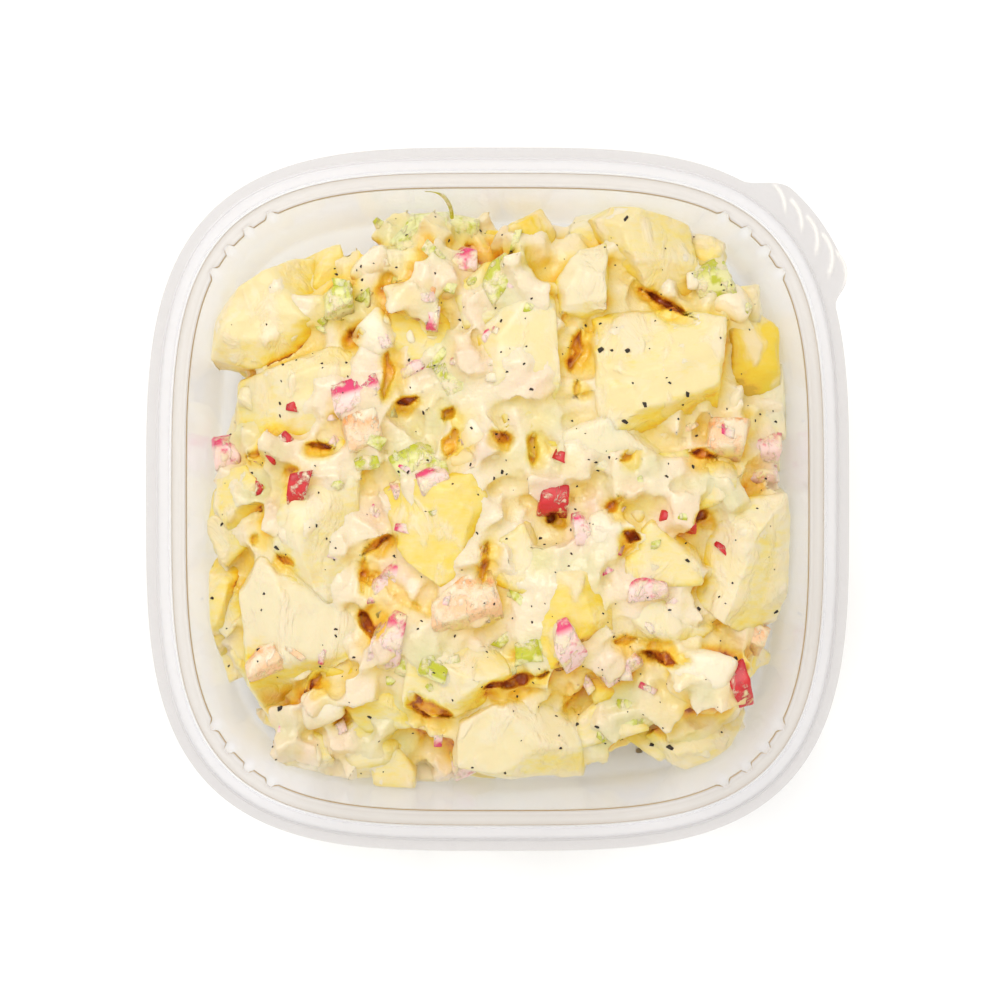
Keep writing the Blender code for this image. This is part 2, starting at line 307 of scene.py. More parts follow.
def wallGap(points):
    # how far the points stand from the wall's inner face
    reach, normal = tubEdge(np.arctan2(points[:, 1], points[:, 0]))
    far = np.hypot(points[:, 0], points[:, 1])
    square = np.sum(normal * points[:, :2], axis=1) / np.maximum(far, mm)
    return (reach - far) * square - wallInset(points[:, 2])


def keepInside(points, gap, slack=0.22 * mm):
    # food that meets the tub flattens against it, leaving this gap
    out = points.copy()
    out[:, 2] = np.maximum(out[:, 2], tub["sheet"] + gap)
    angle = np.arctan2(out[:, 1], out[:, 0])
    reach, normal = tubEdge(angle)
    square = normal[:, 0] * np.cos(angle) + normal[:, 1] * np.sin(angle)
    limit = reach - (wallInset(out[:, 2]) + gap + slack) / square
    far = np.hypot(out[:, 0], out[:, 1])
    out[:, :2] *= np.minimum(1, limit / np.maximum(far, mm))[:, None]
    return out


def roundedBend(before, bend, after, radius, steps=5):
    # a soft bend between two straight runs
    towards = lambda target: bend + (target - bend) * min(0.48, radius / np.linalg.norm(target - bend))
    first, last = towards(before), towards(after)
    return [(1 - s) ** 2 * first + 2 * s * (1 - s) * bend + s * s * last
            for s in np.linspace(0, 1, steps)]


def tubProfile():
    # contours from the flange in to the base, each an inset, a height and how far it's drawn to the middle
    ledge = tub["height"] - tub["ledgeDrop"]
    flange = tub["height"] - tub["flangeDrop"]
    width, slope = tub["flangeWidth"], tub["beadSlope"]
    bead = width + tub["beadWidth"]
    contours = [(width * part, flange, 1) for part in np.linspace(0, 0.86, 15)]
    corners = [(0, flange, 0), (width, flange, 0.2), (width + slope, tub["height"], 0.35),
               (bead - tub["beadInner"], tub["height"], 0.14), (bead + 0.05 * mm, ledge, 0.12),
               (tub["ledgeInner"], ledge, 0.22), (wallInset(ledge - 2 * mm), ledge - 2 * mm, 0)]
    spots = [np.array(corner[:2]) for corner in corners]
    for i in range(1, len(corners) - 1):
        contours += [(*spot, 1) for spot in
                     roundedBend(spots[i - 1], spots[i], spots[i + 1], corners[i][2] * mm)]
        if i in (2, 4):        # the top of the bead and the ledge are flat between their bends
            contours += [(*(spots[i] + (spots[i + 1] - spots[i]) * part), 1)
                         for part in (0.35, 0.65, 0.82, 0.91)]
    foot = tub["sheet"] + tub["baseRound"]
    contours += [(wallInset(z), z, 1) for z in np.linspace(ledge - 1.2 * mm, foot, 16)]
    contours += [(wallInset(z), z, 1) for z in
                 tub["sheet"] + tub["baseRound"] * (1 - np.sin(np.linspace(0.15, 1, 8) * pi / 2))]
    inner = contours[-1][0]
    contours += [(inner, tub["sheet"], part) for part in (0.95, 0.84, 0.66, 0.44, 0.22, 0.08)]
    return contours


def lugFlutes(turned):
    # 1 in the flutes between the stacking lugs of a corner
    fromCorner = turned % 90 - 45
    nearest = np.min([np.abs(fromCorner - lug) for lug in tub["lugAngles"]], axis=0)
    return ease((tub["lugHalfMouth"] - nearest) / (tub["lugHalfMouth"] - tub["lugHalfFlat"]))


def tabShare(turned):
    # 1 along the pull tab, at the back right corner
    start, full, leave, end = tub["tabAngles"]
    return ease((turned - start) / (full - start)) * (1 - ease((turned - leave) / (end - leave)))


def tabRibs(x, y, inset):
    # curved grip ribs that run in from the tab's edge, all of one bend
    height = np.zeros_like(x)
    for turn in tub["ribAngles"]:
        startX, startY = tub["ribStart"] * cos(radians(turn)), tub["ribStart"] * sin(radians(turn))
        middleX, middleY = startX - tub["ribShift"][0], startY - tub["ribShift"][1]
        off = np.hypot(x - middleX, y - middleY) - tub["ribBend"]
        along = np.degrees(np.arctan2(y - middleY, x - middleX))
        first, last = tub["ribSweep"]
        ends = ease((along - first) / 8) * ease((last - along) / 8)
        height = np.maximum(height, band(off, 0, tub["ribWidth"]) * ends)
    return height * ease((tub["flangeWidth"] * 0.8 - inset) / (tub["flangeWidth"] * 0.3))


def sheetLooks(insets, heights, flute, rib):
    # what the finish reads, each with its values on the sheet's upper face and on its under face
    step, top = tub["flangeWidth"] + tub["beadWidth"], tub["ledgeInner"]
    ledge, soft = tub["height"] - tub["ledgeDrop"], 0.3 * mm
    onLedge = ease((ledge + 0.5 * mm - heights) / soft)
    onWall = ease((insets - top) / (0.5 * mm))
    atStep, atTop = band(insets, step, soft), band(insets, top, soft)
    low = 1 - 0.65 * ease((10 * mm - heights) / (5 * mm))
    # painted refraction of the food: brown where the sheet bends down, darkest at the corners of the flutes
    stepLine = band(insets, step + 0.08 * mm, tub["stepLine"]) * onLedge
    topLine = band(insets, top - 0.08 * mm, tub["topLine"]) * (1 - 0.7 * flute + 2.4 * flute * (1 - flute))
    line = np.clip(stepLine * 0.72 + topLine, 0, 1)
    # painted highlight on the ribs and just outside the ledge's dark line, and painted light on the ledge
    # beside the bead, where its shade would fall
    brink = band(insets, top - 0.7 * mm, soft) * 0.4
    paintedLedgeLight = band(insets, step + 0.6 * mm, 0.6 * mm) * 0.6
    shine = np.clip(rib + brink + paintedLedgeLight * onLedge, 0, 1)
    # the flange is frosted, and the bead and the ledge half as much, with a warmer tone on the ledge
    frost = 0.5 + 0.5 * ease((tub["flangeWidth"] + 0.4 * mm - insets) / (0.5 * mm)) - 0.5 * onWall
    frost = frost * (1 - atStep) * (1 - 0.7 * atTop) + 0.1 * ease((5 * mm - heights) / (3 * mm))
    rim = ease((insets - tub["flangeWidth"]) / (0.5 * mm)) * (1 - ease((insets - top) / soft))
    rim *= 0.3 + 0.4 * ease((insets - step) / (0.2 * mm))
    return (("bendLine", line, line * 0), ("shine", shine, shine * 0.5), ("frost", frost, frost),
            ("rim", rim, rim), ("veil", (1 - atStep) * (1 - 0.8 * atTop) * low, onWall * low))


def makeTub():
    contours = tubProfile()
    pickNothing()
    bpy.ops.mesh.primitive_circle_add(vertices=tub["around"], radius=1, fill_type="NOTHING")
    piece = bpy.context.active_object
    startEdit(piece)
    for _ in contours[1:]:
        bpy.ops.mesh.extrude_region_move(TRANSFORM_OT_translate={"value": (0, 0, -1)})
    bpy.ops.mesh.edge_face_add()
    bpy.ops.mesh.select_all(action="SELECT")
    bpy.ops.mesh.normals_make_consistent(inside=False)
    endEdit()
    # each drawn ring is then laid on its own contour, with more points at the corners than along the sides
    points = pointsOf(piece)
    row = np.round(-points[:, 2]).astype(int)
    even = np.arctan2(points[:, 1], points[:, 0])
    angle = even + tub["crowded"] * np.sin(4 * even)
    insets, heights, drawn = np.array(contours)[row].T
    reach, normal = tubEdge(angle)
    turned = np.degrees(angle) % 360
    flute = lugFlutes(turned)
    ledge, lug = tub["height"] - tub["ledgeDrop"], tub["lugHeight"]
    fluted = ease((insets - tub["lugStart"]) / tub["lugRun"]) * ease((heights - ledge + lug) / lug)
    spread = np.clip(1 - insets / tub["flangeWidth"], 0, 1)
    out = tub["lugDepth"] * fluted * flute + tub["tabReach"] * spread * tabShare(turned) - insets
    x = (reach * np.cos(angle) + normal[:, 0] * out) * drawn
    y = (reach * np.sin(angle) + normal[:, 1] * out) * drawn
    rib = tabRibs(x, y, insets) * tabShare(turned)
    setPoints(piece, np.stack([x, y, heights + rib * tub["ribHeight"]], -1))
    base = row == len(contours) - 1
    if np.mean(pointsOf(piece, "normal")[base][:, 2]) < 0:
        startEdit(piece)
        bpy.ops.mesh.flip_normals()
        endEdit()
    useModifier(piece, "SOLIDIFY", thickness=tub["sheet"], offset=-1, use_even_offset=True)
    for name, upper, under in sheetLooks(insets, heights, flute, rib):
        paint(piece, name, np.append(upper, under))
    pickOnly(piece)
    bpy.ops.object.shade_smooth_by_angle(angle=tub["creaseAngle"])
    piece.name = piece.data.name = "clearTub"
    return piece


def clearSheet():
    # clear when seen square on, and milky where the eye runs along it
    f = Finish("clearSheet")
    facing = f.add("ShaderNodeLayerWeight", {}, {"Blend": 0.5}, "Facing")
    frost, line, shine = f.painted("frost"), f.painted("bendLine"), f.painted("shine")
    shares = {"frostTone": frost, "rimTone": f.painted("rim"), "shineTone": shine, "lineTone": line}
    # the painted highlights and the painted refraction of the food at the bends go into the sheet's colour
    tone = tub["clearTone"]
    for name, share in shares.items():
        tone = f.blend(share, tone, tub[name])
    solid = f.shader({
        "Base Color": tone,
        "Roughness": (frost * 0.3 + 0.08).clamped(),
        "IOR": 1.5,
        "Coat Weight": (0.3 - line * 0.3).clamped(),
        "Coat Roughness": 0.05,
        "Normal": f.bumps(f.grain(0.7 * mm, 4) * frost, 0.2 * mm, 0.5),
    })
    clear = f.add("ShaderNodeBsdfTransparent", {}, {"Color": tub["clearness"]})
    milky = facing.stepped(0.4, 0.95) * f.painted("veil") * 0.34
    share = (milky + 0.05 + frost * 0.62 + shine * 0.3 + line * 0.9).clamped()
    f.wireOut(f.add("ShaderNodeMixShader", {}, {0: share, 1: clear, 2: solid}))
    return f.material


# Salad: pieces are placed by x, y, top, width, length, thickness, turn and lean, in millimetres and degrees

potatoes = {
    # x, y, top, thickness, how it leans to +X and +Y, how yellow its painted shade makes it (below 0, how
    # much paler its tone), then its corners as cut
    "chunks": (
        (-43.5, 36.8, 31, 14, -3, 2, 0.1,
         ((-14, -9), (-13.5, -3), (-9, 5), (2, 11.3), (9, 11), (14, 4), (11, -3), (-3, -11))),
        (-38.5, 20.2, 34, 16, 3, -3, 0,
         ((-14, -6), (-13, 4), (4, 11), (13, 10.5), (14, 2), (5, -5), (-2, -9.5), (-11, -9))),
        (-35.1, -4.6, 38, 18, -3, 3, -0.1,
         ((-9.5, 1), (-3, 15), (5, 17.5), (8, 9), (8, -7), (5, -17), (1, -16), (-9, -6))),
        (-39.9, -27.8, 33, 17, 4, 3, -0.3,
         ((-12.5, 8), (-8.5, 15), (1, 13.5), (13, 5), (12.5, -2), (0, -11), (-6, -16), (-11, -9))),
        (-7.5, -34.4, 37.5, 14, -4, -6, 0,
         ((-10.5, -6), (-8, 6), (-2, 10), (7, 7), (11, 0), (6, -6), (-2, -8))),
        (4.5, -46.4, 32, 18, 0, -4, -0.15,
         ((-12, 4), (-3, 8.5), (8.5, 10), (12.5, -1), (12.5, -9), (-2, -8.5), (-13, -7))),
        (-11.5, -4.2, 39.5, 17, 1, -8, 0.84,
         ((-11, 7), (-9, -3), (2, -12), (8.5, -8), (11, 4), (6, 11), (-4, 10))),
        (12.5, -21.8, 39.5, 18, 2, -6, 0.85,
         ((-13, 3), (-10, 10), (6.5, 10), (10, 1), (9.5, -8), (4, -12), (-5, -7))),
        (30.5, 49.2, 33, 16, 4, 4, 0.25,
         ((-12.5, 6), (-6, 9.5), (8, 6.5), (9.5, -7), (7.5, -11), (-3, -6), (-9, -1))),
        (31.9, 23.2, 40, 18, 3, -2, 0.15,
         ((-12.5, 13.5), (0, 14), (13, 13), (11.5, -4), (10, -13), (-9.5, -12.5), (-12.5, -2))),
        (4.5, 27.8, 39, 16, -3, 3, 0, ((2, 17), (7.5, 11), (8.5, -4), (5, -15), (-6, -13), (-8, 5))),
        (48.1, -11.8, 34, 17, 3, -2, -0.1,
         ((-10, 4), (-5, 11), (9.5, 13), (10, -5), (8, -12), (0, -14), (-11, -6))),
        (17.5, 42.8, 37, 14, -2, 5, -0.3, ((-5.5, 0), (-1, 7), (5, 8), (4.5, -5), (0, -7), (-5, -6))),
        (34, -24.2, 34, 14, 2, -1, -0.15, ((-12, 4), (0, 6), (12, 1), (6, -4), (0, -8), (-9, -3))),
        (39.5, -48.4, 24, 13, 2, -3, -0.1,
         ((-5, 6), (10.5, 5.5), (7, -2), (1.5, -7), (-4, -4.5), (-10, 1))),
        (-24.5, -48.2, 26, 14, 0, -10, 0.1, ((-10, 1), (-3, 7), (7, 6), (9.5, -1), (2, -6), (-6, -7))),
        (-25, -38.2, 31, 14, 4, 3, 0, ((-8, -3), (-5, 6), (3, 8), (6, 2), (7, -8), (-2, -9))),
        (50.5, 27.8, 29, 15, 6, 3, 1.1, ((-7, 8), (-1, 12), (5, 7), (6, -6), (2, -12), (-6, -8))),
        (-55.3, -20.2, 25, 12, -8, 0, 0.6, ((2, 13), (4.5, 6), (2.5, -2), (0, -12), (-4, -9), (-3.5, 2))),
        (-49.9, -0.2, 29, 13, -4, 2, 0.3, ((-6, 5), (0, 7), (6, 3), (5, -6), (-3, -7), (-7, -2))),
        (5.5, 51.5, 32, 13, 0, 6, 1.3, ((-6, -3), (-3, 3), (3, 6), (6.5, 2), (6, -5), (0, -6))),
    ),
    "blocks": (
        (22, -45, 27, 13, 10, 12, 18, -4), (55, 20, 25, 8, 16, 12, 4, 0), (-54, -7, 25, 9, 9, 10, 30, 0),
        (22, 11, 37, 20, 12, 14, -8, 4), (41, 4, 34, 15, 12, 14, 12, 0), (32, -11, 35, 14, 15, 14, 8, 4),
        (4, -12, 35, 13, 15, 14, -12, 0), (-14, 34, 36, 17, 13, 14, -14, 4),
        (-1, 42, 36, 15, 12, 14, 8, 0), (9, 13, 36, 13, 14, 13, 16, 4), (-19, -13, 29, 11, 12, 12, 10, 0),
        (-34, -38, 28, 10, 9, 12, -20, 6), (25, -37, 29, 14, 11, 12, 12, 4),
        (-16, -53, 18, 14, 9, 10, 0, 0), (-53, -31, 18, 8, 10, 10, 16, 0),
    ),
    "sharpness": 0.66,
    "wobble": 0.12,            # how far a corner wanders, as a share of the side
    "outline": 1.04,           # a chunk's width against its corners above
    "spread": 1.06,            # its foot against that
    "crown": (0.66, 0.86),     # and its crown
    "crownRise": (0.12, 0.26),
    "crownShift": 2.2,         # millimetres
    "crownTilt": 0.16,         # radians
    "slices": ((-110, -10), (20, 200)),        # turns, in degrees, of two slanting slices off its top
    "sliceSlope": (0.7, 1.6),
    "sliceReach": (0.4, 0.7),
    "sliceHeight": (0.86, 0.96),
    "lumpSize": 6 * mm,
    "lumpHeight": 1.5 * mm,
    "crumbSize": 2.4 * mm,
    "crumbHeight": 0.48 * mm,
    "sideLayers": ((8.5, 22, 12), (19.5, 20, 10)),   # height, number round the heap, size
    "sideBite": 0.42,
    # stretches where the heap stands back from the wall, as angle, half width and depth
    "bare": ((127, 24, 8), (90, 9, 4), (158, 9, 7), (-62, 10, 8), (-30, 8, 5), (-92, 7, 4),
             (-140, 10, 4), (40, 9, 3)),
    "seed": 17,
}


# where the knife takes a slice off a block, as a point of the cut and the way it faces
topCut = ((0.3, 0.3, 0.2), (0.7, 0.6, 0.45))
sideCut = ((-0.3, 0.34, 0), (-0.6, 0.8, 0.1))
backCut = ((0.1, -0.3, 0.25), (0.2, -0.8, 0.6))


def masterBlock(name, seed, sharpness, wobble, level, cuts=()):
    # a knife-cut block one unit across, with its corners a little off
    pickNothing()
    bpy.ops.mesh.primitive_cube_add(size=1)
    piece = bpy.context.active_object
    startEdit(piece)
    bpy.ops.transform.vertex_random(offset=wobble, uniform=1, seed=seed, wait_for_input=False)
    for middle, facing in cuts:
        bpy.ops.mesh.select_all(action="SELECT")
        bpy.ops.mesh.bisect(plane_co=middle, plane_no=facing, use_fill=True, clear_outer=True)
    bpy.ops.mesh.select_all(action="SELECT")
    bpy.ops.transform.edge_crease(value=sharpness)
    endEdit()
    useModifier(piece, "SUBSURF", levels=level, render_levels=level)
    piece.name = name
    return piece


def copyTo(master, place, tone):
    # a copy with its own mesh, set by the middle of its plan and the height of its top
    x, y, top, width, length, thickness, turn, lean = place
    copy = linked(master.name, master.data.copy())
    turned = Matrix.Rotation(radians(turn), 4, "Z") @ Matrix.Rotation(radians(lean), 4, "X")
    copy.data.transform(turned @ Matrix.Diagonal((width * mm, length * mm, thickness * mm, 1)))
    points = pointsOf(copy)
    points += np.array((x * mm, y * mm, top * mm - points[:, 2].max()))
    setPoints(copy, points)
    paint(copy, "tone", np.full(len(points), tone))
    return copy


def roughen(piece, kind):
    for name in ("lump", "crumb"):
        bulge(piece, name, kind[name + "Size"], kind[name + "Height"])


def standBack(angle):
    # how far the heap stands back from the wall at this angle
    depth = 0
    for bare, half, most in potatoes["bare"]:
        off = np.abs((np.degrees(angle) - bare + 180) % 360 - 180)
        depth = depth + most * mm * ease((half * 1.4 - off) / half)
    return depth


def cutChunk(place, draw):
    # a slice with its own knife-cut outline, drawn up from a wider foot to a smaller crown
    x, y, top, thickness, leanX, leanY, yellowShadeAndTone, corners = place
    pickNothing()
    bpy.ops.mesh.primitive_circle_add(vertices=len(corners), radius=1, fill_type="NGON")
    piece = bpy.context.active_object
    wide, spread = potatoes["outline"], potatoes["spread"]
    setPoints(piece, np.array([(cx * mm, cy * mm, 0) for cx, cy in corners]) * (wide, wide, 1))
    startEdit(piece)
    middle, offset, tilt = (0, 0, 0), potatoes["crownShift"], potatoes["crownTilt"]
    bpy.ops.transform.resize(value=(spread, spread, spread), center_override=middle)
    bpy.ops.mesh.extrude_region_move(TRANSFORM_OT_translate={"value": (0, 0, thickness * 0.8 * mm)})
    bpy.ops.transform.resize(value=(1 / spread, 1 / spread, 1), center_override=middle)
    shift = (draw.uniform(-offset, offset) * mm, draw.uniform(-offset, offset) * mm,
             thickness * draw.uniform(*potatoes["crownRise"]) * mm)
    bpy.ops.mesh.extrude_region_move(TRANSFORM_OT_translate={"value": shift})
    crown = draw.uniform(*potatoes["crown"])
    bpy.ops.transform.resize(value=(crown, crown, 1), center_override=middle)
    for axis in "XY":
        bpy.ops.transform.rotate(value=draw.uniform(-tilt, tilt), orient_axis=axis, center_override=middle)
    radius = max(abs(value) for corner in corners for value in corner) * mm
    for turn in [draw.uniform(*side) for side in potatoes["slices"]]:
        slope = draw.uniform(*potatoes["sliceSlope"])
        facing = Vector((cos(radians(turn)), sin(radians(turn)), slope)).normalized()
        reach = draw.uniform(*potatoes["sliceReach"]) * radius
        cut = (facing.x * reach, facing.y * reach, thickness * draw.uniform(*potatoes["sliceHeight"]) * mm)
        bpy.ops.mesh.select_all(action="SELECT")
        bpy.ops.mesh.bisect(plane_co=cut, plane_no=facing, use_fill=True, clear_outer=True)
    bpy.ops.mesh.select_all(action="SELECT")
    bpy.ops.transform.vertex_random(offset=0.5 * mm, uniform=1, seed=draw.randrange(999),
                                    wait_for_input=False)
    bpy.ops.mesh.normals_make_consistent(inside=False)
    bpy.ops.transform.edge_crease(value=potatoes["sharpness"])
    endEdit()
    level = 4 if len(corners) > 6 and thickness >= 14 else 3       # the large ones are finer
    useModifier(piece, "SUBSURF", levels=level, render_levels=level)
    piece.data.transform(Matrix.Rotation(radians(leanX), 4, "Y") @ Matrix.Rotation(radians(-leanY), 4, "X"))
    points = pointsOf(piece)
    setPoints(piece, points + np.array((x * mm, y * mm, top * mm - points[:, 2].max())))
    # the tone carries the chunk's painted yellow shade, and a paler tone where that value is below 0
    paint(piece, "tone", np.full(len(points), 0.5 - yellowShadeAndTone * 1.3))
    return piece


def makePotatoes():
    draw = random.Random(potatoes["seed"])
    small = [masterBlock("potatoCut", seed, potatoes["sharpness"], potatoes["wobble"], 3, cuts)
             for seed, cuts in ((5, (backCut,)), (9, (topCut,)), (14, (sideCut,)), (21, (topCut, sideCut)))]
    group = [cutChunk(place, draw) for place in potatoes["chunks"]]
    group += [copyTo(draw.choice(small), place, draw.random()) for place in potatoes["blocks"]]
    for middle, count, size in potatoes["sideLayers"]:
        for i in range(count):
            angle = (i + draw.uniform(-0.25, 0.25)) * 2 * pi / count
            width, length, thickness = (size * draw.uniform(0.8, 1.25) for _ in range(3))
            height = middle + draw.uniform(-1.5, 1.5)
            reach, _ = tubEdge(np.array([angle]))
            reach = (reach[0] - wallInset(height * mm)) / mm - potatoes["sideBite"] * max(width, length)
            reach -= standBack(angle) / mm
            turn, lean = np.degrees(angle) + draw.uniform(-30, 30), draw.uniform(-12, 12)
            place = (reach * cos(angle), reach * sin(angle), height + thickness / 2,
                     width, length, thickness, turn, lean)
            group.append(copyTo(draw.choice(small), place, draw.random()))
    discard(small)
    piece = joinAs("potatoPieces", group)
    roughen(piece, potatoes)
    return piece


eggs = {
    "tint": (1.0, 1.0, 1.12),  # what the dressing takes up of its colour
    "sharpness": 0.35, "wobble": 0.24, "bend": 0.5, "seed": 31, "bits": 1,
    "blocks": (
        (-24, 33, 37, 9, 8, 6, -30, 0), (-11.5, 42, 36.5, 8, 8, 9, 10, 0), (-38, -51, 27, 7, 8, 9, -12, 8),
        (-35, -42, 31, 10, 7, 7, 24, 10), (41.5, -35.5, 37, 13, 11.5, 9, -30, 2),
        (17, 27, 33, 5, 8, 8, -12, 0), (-4, 12, 38, 13, 12, 10, 14, 4), (48, 39, 29, 9, 7, 7, -24, 0),
        (47, 18, 31, 5, 10, 8, -10, 0), (22, -7, 37, 6, 8, 7, 10, 0), (-25, 46.5, 32, 10, 8, 10, 20, 4),
    ),
}
celery = {
    "tint": (0.83, 0.91, 0.66),
    "flesh": (0.80, 0.75, 0.33),
    "skin": (0.52, 0.52, 0.02),
    "patches": 0.48,
    "bareness": (0.46, 0.68),  # where the cloudy dressing starts to cover it, and where it covers all
    "sharpness": 0.72, "wobble": 0.14, "bend": 0.5, "seed": 42, "bits": 2,
    "blocks": (
        (-31.8, 40, 37, 5.6, 7.6, 8, 2, 0), (-27, 39, 33, 3, 7, 7, 0, 0), (44, 44, 29, 8, 9, 8, 20, 8),
        (-15, -31, 36, 9, 11, 7, -24, 8), (9, -31, 36, 10, 8, 7, -8, 6), (29, -43, 28, 10, 10, 8, 8, 8),
        (-15, 7, 37, 10, 10, 8, 22, 4), (1, 44, 38, 9, 8, 6, 36, 0), (27, 2, 37, 6, 8, 7, 12, 0),
        (-15, 51, 31, 11, 12, 10, 190, -6), (-8, 55, 27, 9, 6, 8, 166, 0), (-19, 53, 28, 7, 8, 8, 204, 0),
        (-12, 20, 34, 13, 12, 10, -24, 6), (-7, 25, 37, 9, 9, 7, 20, 0),
        (-12.9, -34.2, 37.7, 6, 3, 5, -24, 52), (6.5, -30.8, 37.3, 5, 3, 4, 12, 52),
        (-26.5, 8, 36, 5, 3, 6, 8, 45),
    ),
}
onion = {
    "tint": (1.0, 0.79, 0.85),
    "flesh": (0.91, 0.64, 0.56),
    "skin": (0.74, 0.04, 0.15),
    "patches": 0.56,
    "bareness": (0.42, 0.66),
    "sharpness": 0.62, "wobble": 0.16, "bend": 1.1, "seed": 53, "bits": 2,
    "blocks": (
        (-7, 47, 35, 6, 7, 5, -8, 6), (-13, 4, 39, 7, 5, 5, 26, 6), (14, -29, 39, 5, 10, 4, 24, 12),
        (-22, -28.5, 38, 6, 12, 5, -14, 6), (-24, -3, 32, 6, 8, 5, 8, 10), (17, -6, 37, 4, 7, 5, 12, 0),
        (-43, -48, 28, 4, 9, 6, -6, 6), (-7, -53, 23, 5, 9, 4, 12, 16), (-28, 20, 37, 10, 7, 5, 16, 4),
        (24, -33, 33, 9, 7, 5, 36, 8), (54, 10, 27, 7, 7, 6, -4, 0), (53, 5, 25, 8, 4, 5, 8, 0),
        (30, -18, 36, 9, 5, 5, 10, 6), (-19, 25, 35, 10, 6, 5, 26, 6), (-20, -16, 34, 10, 8, 7, 16, 8),
        (-55, 9, 25, 6, 7, 5, 10, 0), (-5.2, 27.5, 38.5, 9, 2.2, 3, -6, 0),
    ),
}
pepper = {
    "tint": (1.0, 0.70, 0.64),
    "flesh": (0.62, 0.012, 0.014),
    "skin": (0.50, 0.003, 0.01),
    "patches": 0.5,
    "bareness": (0.56, 0.68),
    "sharpness": 0.66, "wobble": 0.16, "bend": 0.8, "seed": 64, "bits": 1,
    "blocks": (
        (-40, 2, 38, 4, 7, 3, -14, 8), (-44, 10, 34, 7, 5, 4, 36, 6), (36, -4, 36, 8, 4, 4, -20, 6),
        (49, -37.5, 36.3, 4, 8.4, 5, 16, 0), (11, 0, 37, 6, 7, 4, -12, 0),
    ),
}
carrot = {
    "tint": (1.0, 0.79, 0.72),
    "flesh": (0.93, 0.56, 0.30),
    "skin": (0.90, 0.36, 0.10),
    "patches": 0.6,
    "bareness": (0.36, 0.62),
    "sharpness": 0.6, "wobble": 0.16, "bend": 0.3, "seed": 75, "bits": 1,
    "blocks": (
        (46, 12, 34, 8, 8, 7, -8, 4), (-27, 13, 37, 8, 9, 8, 14, 8), (-17, 40, 39, 8, 8, 6, -24, 4),
        (-6, -21, 38, 13, 12, 10, 8, 4), (-47, -33, 33, 7, 6, 5, 20, 0), (51, -28, 27, 7, 6, 6, -30, 0),
    ),
}
dice = {
    # the surface of all the small pieces, and the bits that chopping leaves beside them
    "lumpSize": 3 * mm,
    "lumpHeight": 0.5 * mm,
    "crumbSize": 1.1 * mm,
    "crumbHeight": 0.22 * mm,
    "bitSizes": ((1.2, 2.6), (2.0, 5.5), (1.0, 2.2)),
    "bitProud": 0.35,          # above what it lies on
    "bitLowest": 25 * mm,
}


def diceMasters(name, kind, level):
    masters = [masterBlock(name, kind["seed"] + i, kind["sharpness"], kind["wobble"], level, cuts)
               for i, cuts in enumerate(((topCut,), (backCut,), (sideCut, backCut)))]
    for master in masters:
        points = pointsOf(master)
        paint(master, "skin", ease((points[:, 1] - 0.2) / 0.25))
        points[:, 2] -= kind["bend"] * points[:, 1] ** 2
        setPoints(master, points)
    return masters


def makeDice(name, kind):
    # small cut vegetables and egg: one side of each is its skin
    draw = random.Random(kind["seed"])
    masters = diceMasters(name, kind, 3)
    group = [copyTo(draw.choice(masters), place, draw.random()) for place in kind["blocks"]]
    discard(masters)
    piece = joinAs(name, group)
    roughen(piece, dice)
    return piece


def dropOn(tree, x, y):
    # where something let fall from above comes to lie
    return tree.ray_cast(Vector((x, y, 0.06)), Vector((0, 0, -1)))[0]


def addBits(piece, kind, tree):
    # chopping leaves smaller bits, half sunk in the dressing round about
    draw = random.Random(kind["seed"])
    masters = diceMasters(piece.name, kind, 2)
    group = [piece]
    for x, y, top, width, length, *_ in kind["blocks"]:
        for _ in range(kind["bits"]):
            angle, far = draw.uniform(0, 2 * pi), draw.uniform(0.6, 1.5) * max(width, length)
            bitX, bitY = x + far * cos(angle), y + far * sin(angle)
            spot = dropOn(tree, bitX * mm, bitY * mm)
            if spot is None or spot.z < dice["bitLowest"]:
                continue
            size = [draw.uniform(least, most) for least, most in dice["bitSizes"]]
            top, turn, lean = spot.z / mm + dice["bitProud"], draw.uniform(0, 180), draw.uniform(-25, 25)
            group.append(copyTo(draw.choice(masters), (bitX, bitY, top, *size, turn, lean), draw.random()))
    discard(masters)
    return joinAs(piece.name, group)


strand = {
    # a green string pulled from a celery stick, as its two ends and what each is drawn towards
    "ends": ((-14.6, 62, 42), (-9.2, 56.8, 31)),
    "drawn": ((-11.8, 62, 42), (-9.2, 60.2, 36)),
    "radius": 0.42 * mm,
}


def makeStrand():
    pickNothing()
    bpy.ops.curve.primitive_bezier_curve_add()
    piece = bpy.context.active_object
    piece.data.bevel_depth, piece.data.bevel_resolution = strand["radius"], 2
    piece.data.use_fill_caps = True
    for point, end, drawn in zip(piece.data.splines[0].bezier_points, strand["ends"], strand["drawn"]):
        end, drawn = Vector(end) * mm, Vector(drawn) * mm
        point.handle_left_type = point.handle_right_type = "FREE"
        point.co, point.handle_left, point.handle_right = end, drawn, drawn
    bpy.ops.object.convert(target="MESH")
    paint(piece, "skin", np.ones(len(piece.data.vertices)))
    return piece


class Relief:
    # the heap seen from above, as the height at each cell of a square grid
    cell, half = 0.6 * mm, 66 * mm

    def __init__(self, group):
        self.size = int(2 * self.half / self.cell)
        self.heights = np.zeros((self.size, self.size))
        for piece in group:
            points = pointsOf(piece)
            np.maximum.at(self.heights, self.cells(points), points[:, 2])
        self.spread(1)

    def cells(self, points):
        index = np.clip(((points[:, :2] + self.half) / self.cell).astype(int), 0, self.size - 1)
        return index[:, 0], index[:, 1]

    def neighbours(self):
        padded = np.pad(self.heights, 1, mode="edge")
        return [padded[i:i + self.size, j:j + self.size] for i in range(3) for j in range(3)]

    def spread(self, rounds):
        for _ in range(rounds):
            self.heights = np.max(self.neighbours(), axis=0)

    def soften(self, rounds):
        for _ in range(rounds):
            self.heights = np.mean(self.neighbours(), axis=0)

    def at(self, points):
        return self.heights[self.cells(points)]


